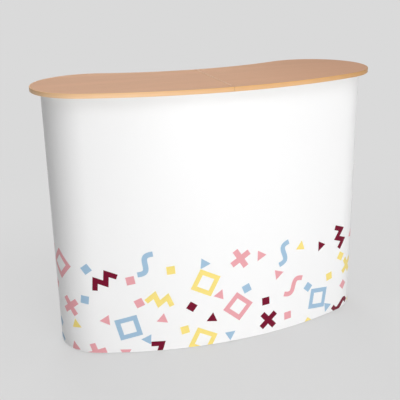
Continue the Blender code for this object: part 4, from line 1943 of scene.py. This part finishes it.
@dataclass
class ShelfSet:
    """A shelf in each bay, on saddles that straddle the level struts."""

    plan: Plan
    struts: StrutSet
    thickness: float = 0.012
    column_gap: float = 0.040
    front_gap: float = 0.030
    rear_gap: float = 0.016
    seat_height: float = 0.006
    corner: float = 0.012
    edge: float = 0.0008
    saddle_width: float = 0.022
    saddle_length: float = 0.020
    saddle_edge: float = 0.0006
    groove_depth: float = 0.004
    groove_play: float = 0.0005
    saddle_shares: tuple[float, float] = (0.22, 0.78)
    sink: float = 0.002
    finishes: tuple[Finish, ...] = (SHELF_FACE, SHELF_EDGE, HUB_PLASTIC)

    def saddle(self, seat: float, top: float) -> Mesh:
        """Block with a round-bottomed groove along X that fits over a strut.

        Args:
            seat: Height at which it rests on the strut.
            top: Height of its top.

        Returns:
            The mesh.
        """
        groove = self.struts.radius + self.groove_play
        half = self.saddle_width / 2
        bottom = seat - self.groove_depth
        outline = [
            (-half, bottom), (-groove, bottom), (-groove, seat), (groove, seat), (groove, bottom),
            (half, bottom), (half, top), (-half, top),
        ]
        reach = self.saddle_length / 2
        return bevelled(along_x(outline, -reach, reach), self.saddle_edge)

    def board(self) -> Mesh:
        """Board of the middle of a bay, with its centre of curve at the origin.

        Returns:
            The board, with its material numbers set.
        """
        plan = self.plan
        front = plan.front_line * math.cos(plan.half_angle) - self.front_gap
        rear = plan.rear_line * math.cos(plan.half_angle) + self.rear_gap
        slope = math.tan(plan.half_angle)
        inset = self.column_gap / math.cos(plan.half_angle)
        front_half = front * slope - inset
        rear_half = rear * slope - inset
        outline = [(-front_half, -front), (front_half, -front), (rear_half, -rear), (-rear_half, -rear)]
        solid = bevelled(prism(rounded(outline, self.corner), 0, self.thickness), self.edge)
        for face in solid.polygons:
            finish = SHELF_FACE if abs(face.normal.z) > LEVEL_FACE else SHELF_EDGE
            face.material_index = self.finishes.index(finish)
        return solid

    def build(self) -> None:
        """Build both shelves."""
        plan, struts = self.plan, self.struts
        row = plan.rows[1]
        seat_rise = struts.radius + plan.gap
        bottom = row + plan.pair_offset + seat_rise + self.seat_height
        centre = Matrix.Translation((0, plan.centre_y, bottom))
        for name, bay in (("left", -1), ("right", 0)):
            to_bay = centre @ turn("Z", (bay + 0.5) * 2 * plan.half_angle)
            parts: Parts = [(moved(self.board(), to_bay), None)]
            for kind in "ab":
                _, _, offset = struts.lines(kind)
                seat = row + offset + seat_rise
                for share in self.saddle_shares:
                    along = Matrix.Translation((plan.strut_length * share, 0, 0))
                    spot = struts.level(bay, row, kind) @ along
                    spot.translation.z = 0
                    parts.append((moved(self.saddle(seat, bottom + self.sink), spot), HUB_PLASTIC))
            node = f"shelf_{name}"
            mesh = joined(parts, self.finishes)
            add_piece(f"shelf_board_{name}", mesh, self.finishes, node, [node])


@dataclass
class LockSet:
    """Locking arms between the front and rear hubs of the middle column."""

    plan: Plan
    hubs: HubSet
    half_height: float = 0.005
    tip_length: float = 0.0065
    edge: float = 0.0005
    eye_steps: int = 12
    sink: float = 0.002
    grip_height: float = 0.008
    ribs: int = 3
    rib_start: float = 0.0015
    rib_pitch: float = 0.0022
    rib_rise: float = 0.0005
    rib_height: float = 0.001
    rib_margin: float = 0.0004
    rib_edge: float = 0.0002
    finishes: tuple[Finish, ...] = (GREY_PLASTIC,)

    def mesh(self) -> Mesh:
        """Arm along Y from its pivot eye at the origin to its hook.

        Returns:
            The arm.
        """
        hubs, plan = self.hubs, self.plan
        reach = plan.frame_depth - 2 * (hubs.half + hubs.bracket_depth / 2)
        half, plate = self.half_height, hubs.bracket_plate
        slot = hubs.stub_radius + plan.gap
        tip = reach + self.tip_length
        outline = [
            *arc((0, 0), half, QUARTER, 3 * QUARTER, self.eye_steps),
            (reach - slot, -half), (reach - slot, 0.0), *crown((reach, 0.0), slot),
            (reach + slot, 0.0), (reach + slot, -half), (tip, -half), (tip, half + self.grip_height),
            (tip - plate, half + self.grip_height), (tip - plate, half),
        ]
        inner = hubs.bracket_offset + plate + plan.gap
        outer = inner + hubs.arm_thickness
        solid = bevelled(along_x(outline, inner, outer), self.edge)
        eye = moved(rod(slot, inner - self.sink, outer + self.sink), turn("Y"))
        parts: Parts = [(cut(solid, [eye]), GREY_PLASTIC)]
        for i in range(self.ribs):
            low = half + self.rib_start + i * self.rib_pitch
            rib = box(
                (inner + self.rib_margin, tip - plate - self.rib_rise, low),
                (outer - self.rib_margin, tip - plate / 2, low + self.rib_height),
            )
            parts.append((bevelled(rib, self.rib_edge), GREY_PLASTIC))
        return joined(parts, self.finishes)

    def build(self) -> None:
        """Build the arms of the two lower rows."""
        hubs, plan = self.hubs, self.plan
        shift = Matrix.Translation((0, hubs.half + hubs.bracket_depth / 2, 0))
        for name, height in zip(("lower", "middle"), plan.rows):
            place = plan.place(0, plan.front_line, height) @ shift
            node = f"lock_arm_{name}"
            add_piece(f"catch_arm_{name}", self.mesh(), self.finishes, node, [node], place)


def direction(azimuth: float, elevation: float) -> Vector:
    """Direction out from the counter, by its angles to the right of the front and upward, in radians."""
    level = math.cos(elevation)
    return Vector((math.sin(azimuth) * level, -math.cos(azimuth) * level, math.sin(elevation)))


@dataclass
class Lamp:
    """One soft rectangular lamp that points at the counter."""

    name: str
    azimuth: float
    elevation: float
    distance: float
    size: Flat
    level: float
    target: Triple = (0.0, 0.0, 0.5)
    mirrored: bool = True

    def build(self) -> None:
        """Put the lamp in the scene, at the power that gives its level on white at the target."""
        light = bpy.data.lights.new(self.name, "AREA")
        light.shape = "RECTANGLE"
        light.size, light.size_y = self.size
        light.energy = self.level * (math.pi * self.distance) ** 2
        lamp = bpy.data.objects.new(self.name, light)
        away = direction(math.radians(self.azimuth), math.radians(self.elevation))
        lamp.location = Vector(self.target) + away * self.distance
        lamp.rotation_euler = away.to_track_quat("Z", "Y").to_euler()
        lamp.visible_camera = False
        lamp.visible_glossy = self.mirrored
        bpy.context.scene.collection.objects.link(lamp)


@dataclass
class Studio:
    """Floor, backdrop colour and soft lamps."""

    ambient: float = 0.195
    floor_half: float = 14.0
    lamps: list[Lamp] = field(default_factory=lambda: [
        Lamp("key_softbox", 6.0, 4.0, 4.5, (2.4, 1.25), 0.465),
        Lamp("high_softbox", 2.0, 50.0, 4.2, (2.6, 2.4), 0.29),
        Lamp("top_softbox", -60.0, 86.0, 4.0, (2.4, 2.0), 0.225),
        Lamp("rear_softbox", 176.0, 22.0, 4.5, (2.8, 1.6), 0.56, mirrored=False),
    ])

    def build(self) -> None:
        """Build the floor, the world and the lamps."""
        half = self.floor_half
        shape = bmesh.new()
        corners = ((-half, -half), (half, -half), (half, half), (-half, half))
        shape.faces.new([shape.verts.new((x, y, 0.0)) for x, y in corners])
        floor = bpy.data.objects.new("studio_floor", written(shape))
        floor.data.materials.append(FLOOR.material())
        bpy.context.scene.collection.objects.link(floor)
        world = bpy.data.worlds.new("studio_world")
        world.use_nodes = True
        bpy.context.scene.world = world
        nodes = Nodes(world.node_tree)
        kind = "ShaderNodeBackground"
        dim = nodes.add(kind, {}, {"Color": opaque((1.0, 1.0, 1.0)), "Strength": self.ambient})
        shown = nodes.add(kind, {}, {"Color": opaque(FLOOR.backdrop), "Strength": 1.0})
        nodes.output(nodes.either(nodes.shown_rays(), dim, shown), "ShaderNodeOutputWorld")
        for lamp in self.lamps:
            lamp.build()
        log.info("studio: %d lamps", len(self.lamps))


@dataclass
class PhotoCamera:
    """Camera at the photograph's viewing angle, as fitted to the counter's outline."""

    focal_pixels: float = 717.64
    frame_pixels: float = 400.0
    sensor: float = 36.0
    place: Triple = (-0.8413, -2.4464, 1.3820)
    azimuth: float = -0.3371
    elevation: float = 0.3301
    right_pixels: float = 15.67
    up_pixels: float = 0.75
    roll: float = -0.0138

    def build(self) -> None:
        """Put the camera in the scene."""
        ahead = -direction(self.azimuth, self.elevation)
        right = ahead.cross(UP).normalized()
        up = right.cross(ahead)
        turned_right = self.right_pixels / self.focal_pixels
        turned_up = self.up_pixels / self.focal_pixels
        ahead = (ahead - turned_right * right + turned_up * up).normalized()
        right = (right - right.dot(ahead) * ahead).normalized()
        up = right.cross(ahead)
        tilted_right = math.cos(self.roll) * right + math.sin(self.roll) * up
        tilted_up = math.cos(self.roll) * up - math.sin(self.roll) * right
        data = bpy.data.cameras.new("photo_camera")
        data.sensor_width = self.sensor
        data.lens = self.focal_pixels * self.sensor / self.frame_pixels
        camera = bpy.data.objects.new("photo_camera", data)
        axes = Matrix((tilted_right, tilted_up, -ahead)).transposed().to_4x4()
        camera.matrix_world = Matrix.Translation(self.place) @ axes
        bpy.context.scene.collection.objects.link(camera)
        bpy.context.scene.camera = camera


def main() -> None:
    """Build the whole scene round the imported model."""
    logging.basicConfig(level=logging.INFO, format="%(name)s: %(message)s")
    for old in list(bpy.data.objects):
        bpy.data.objects.remove(old)
    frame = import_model()
    bpy.context.scene.view_settings.view_transform = "Standard"
    plan = Plan()
    PhotoCamera().build()
    Studio().build()
    Worktop(plan).build(frame["nodes"])
    WrapPanel(plan).build(frame["nodes"])
    hubs = HubSet(plan)
    hubs.build()
    struts = StrutSet(plan)
    struts.build()
    BarSet(plan).build()
    ShelfSet(plan, struts).build()
    LockSet(plan, hubs).build()


if __name__ == "__main__":
    main()
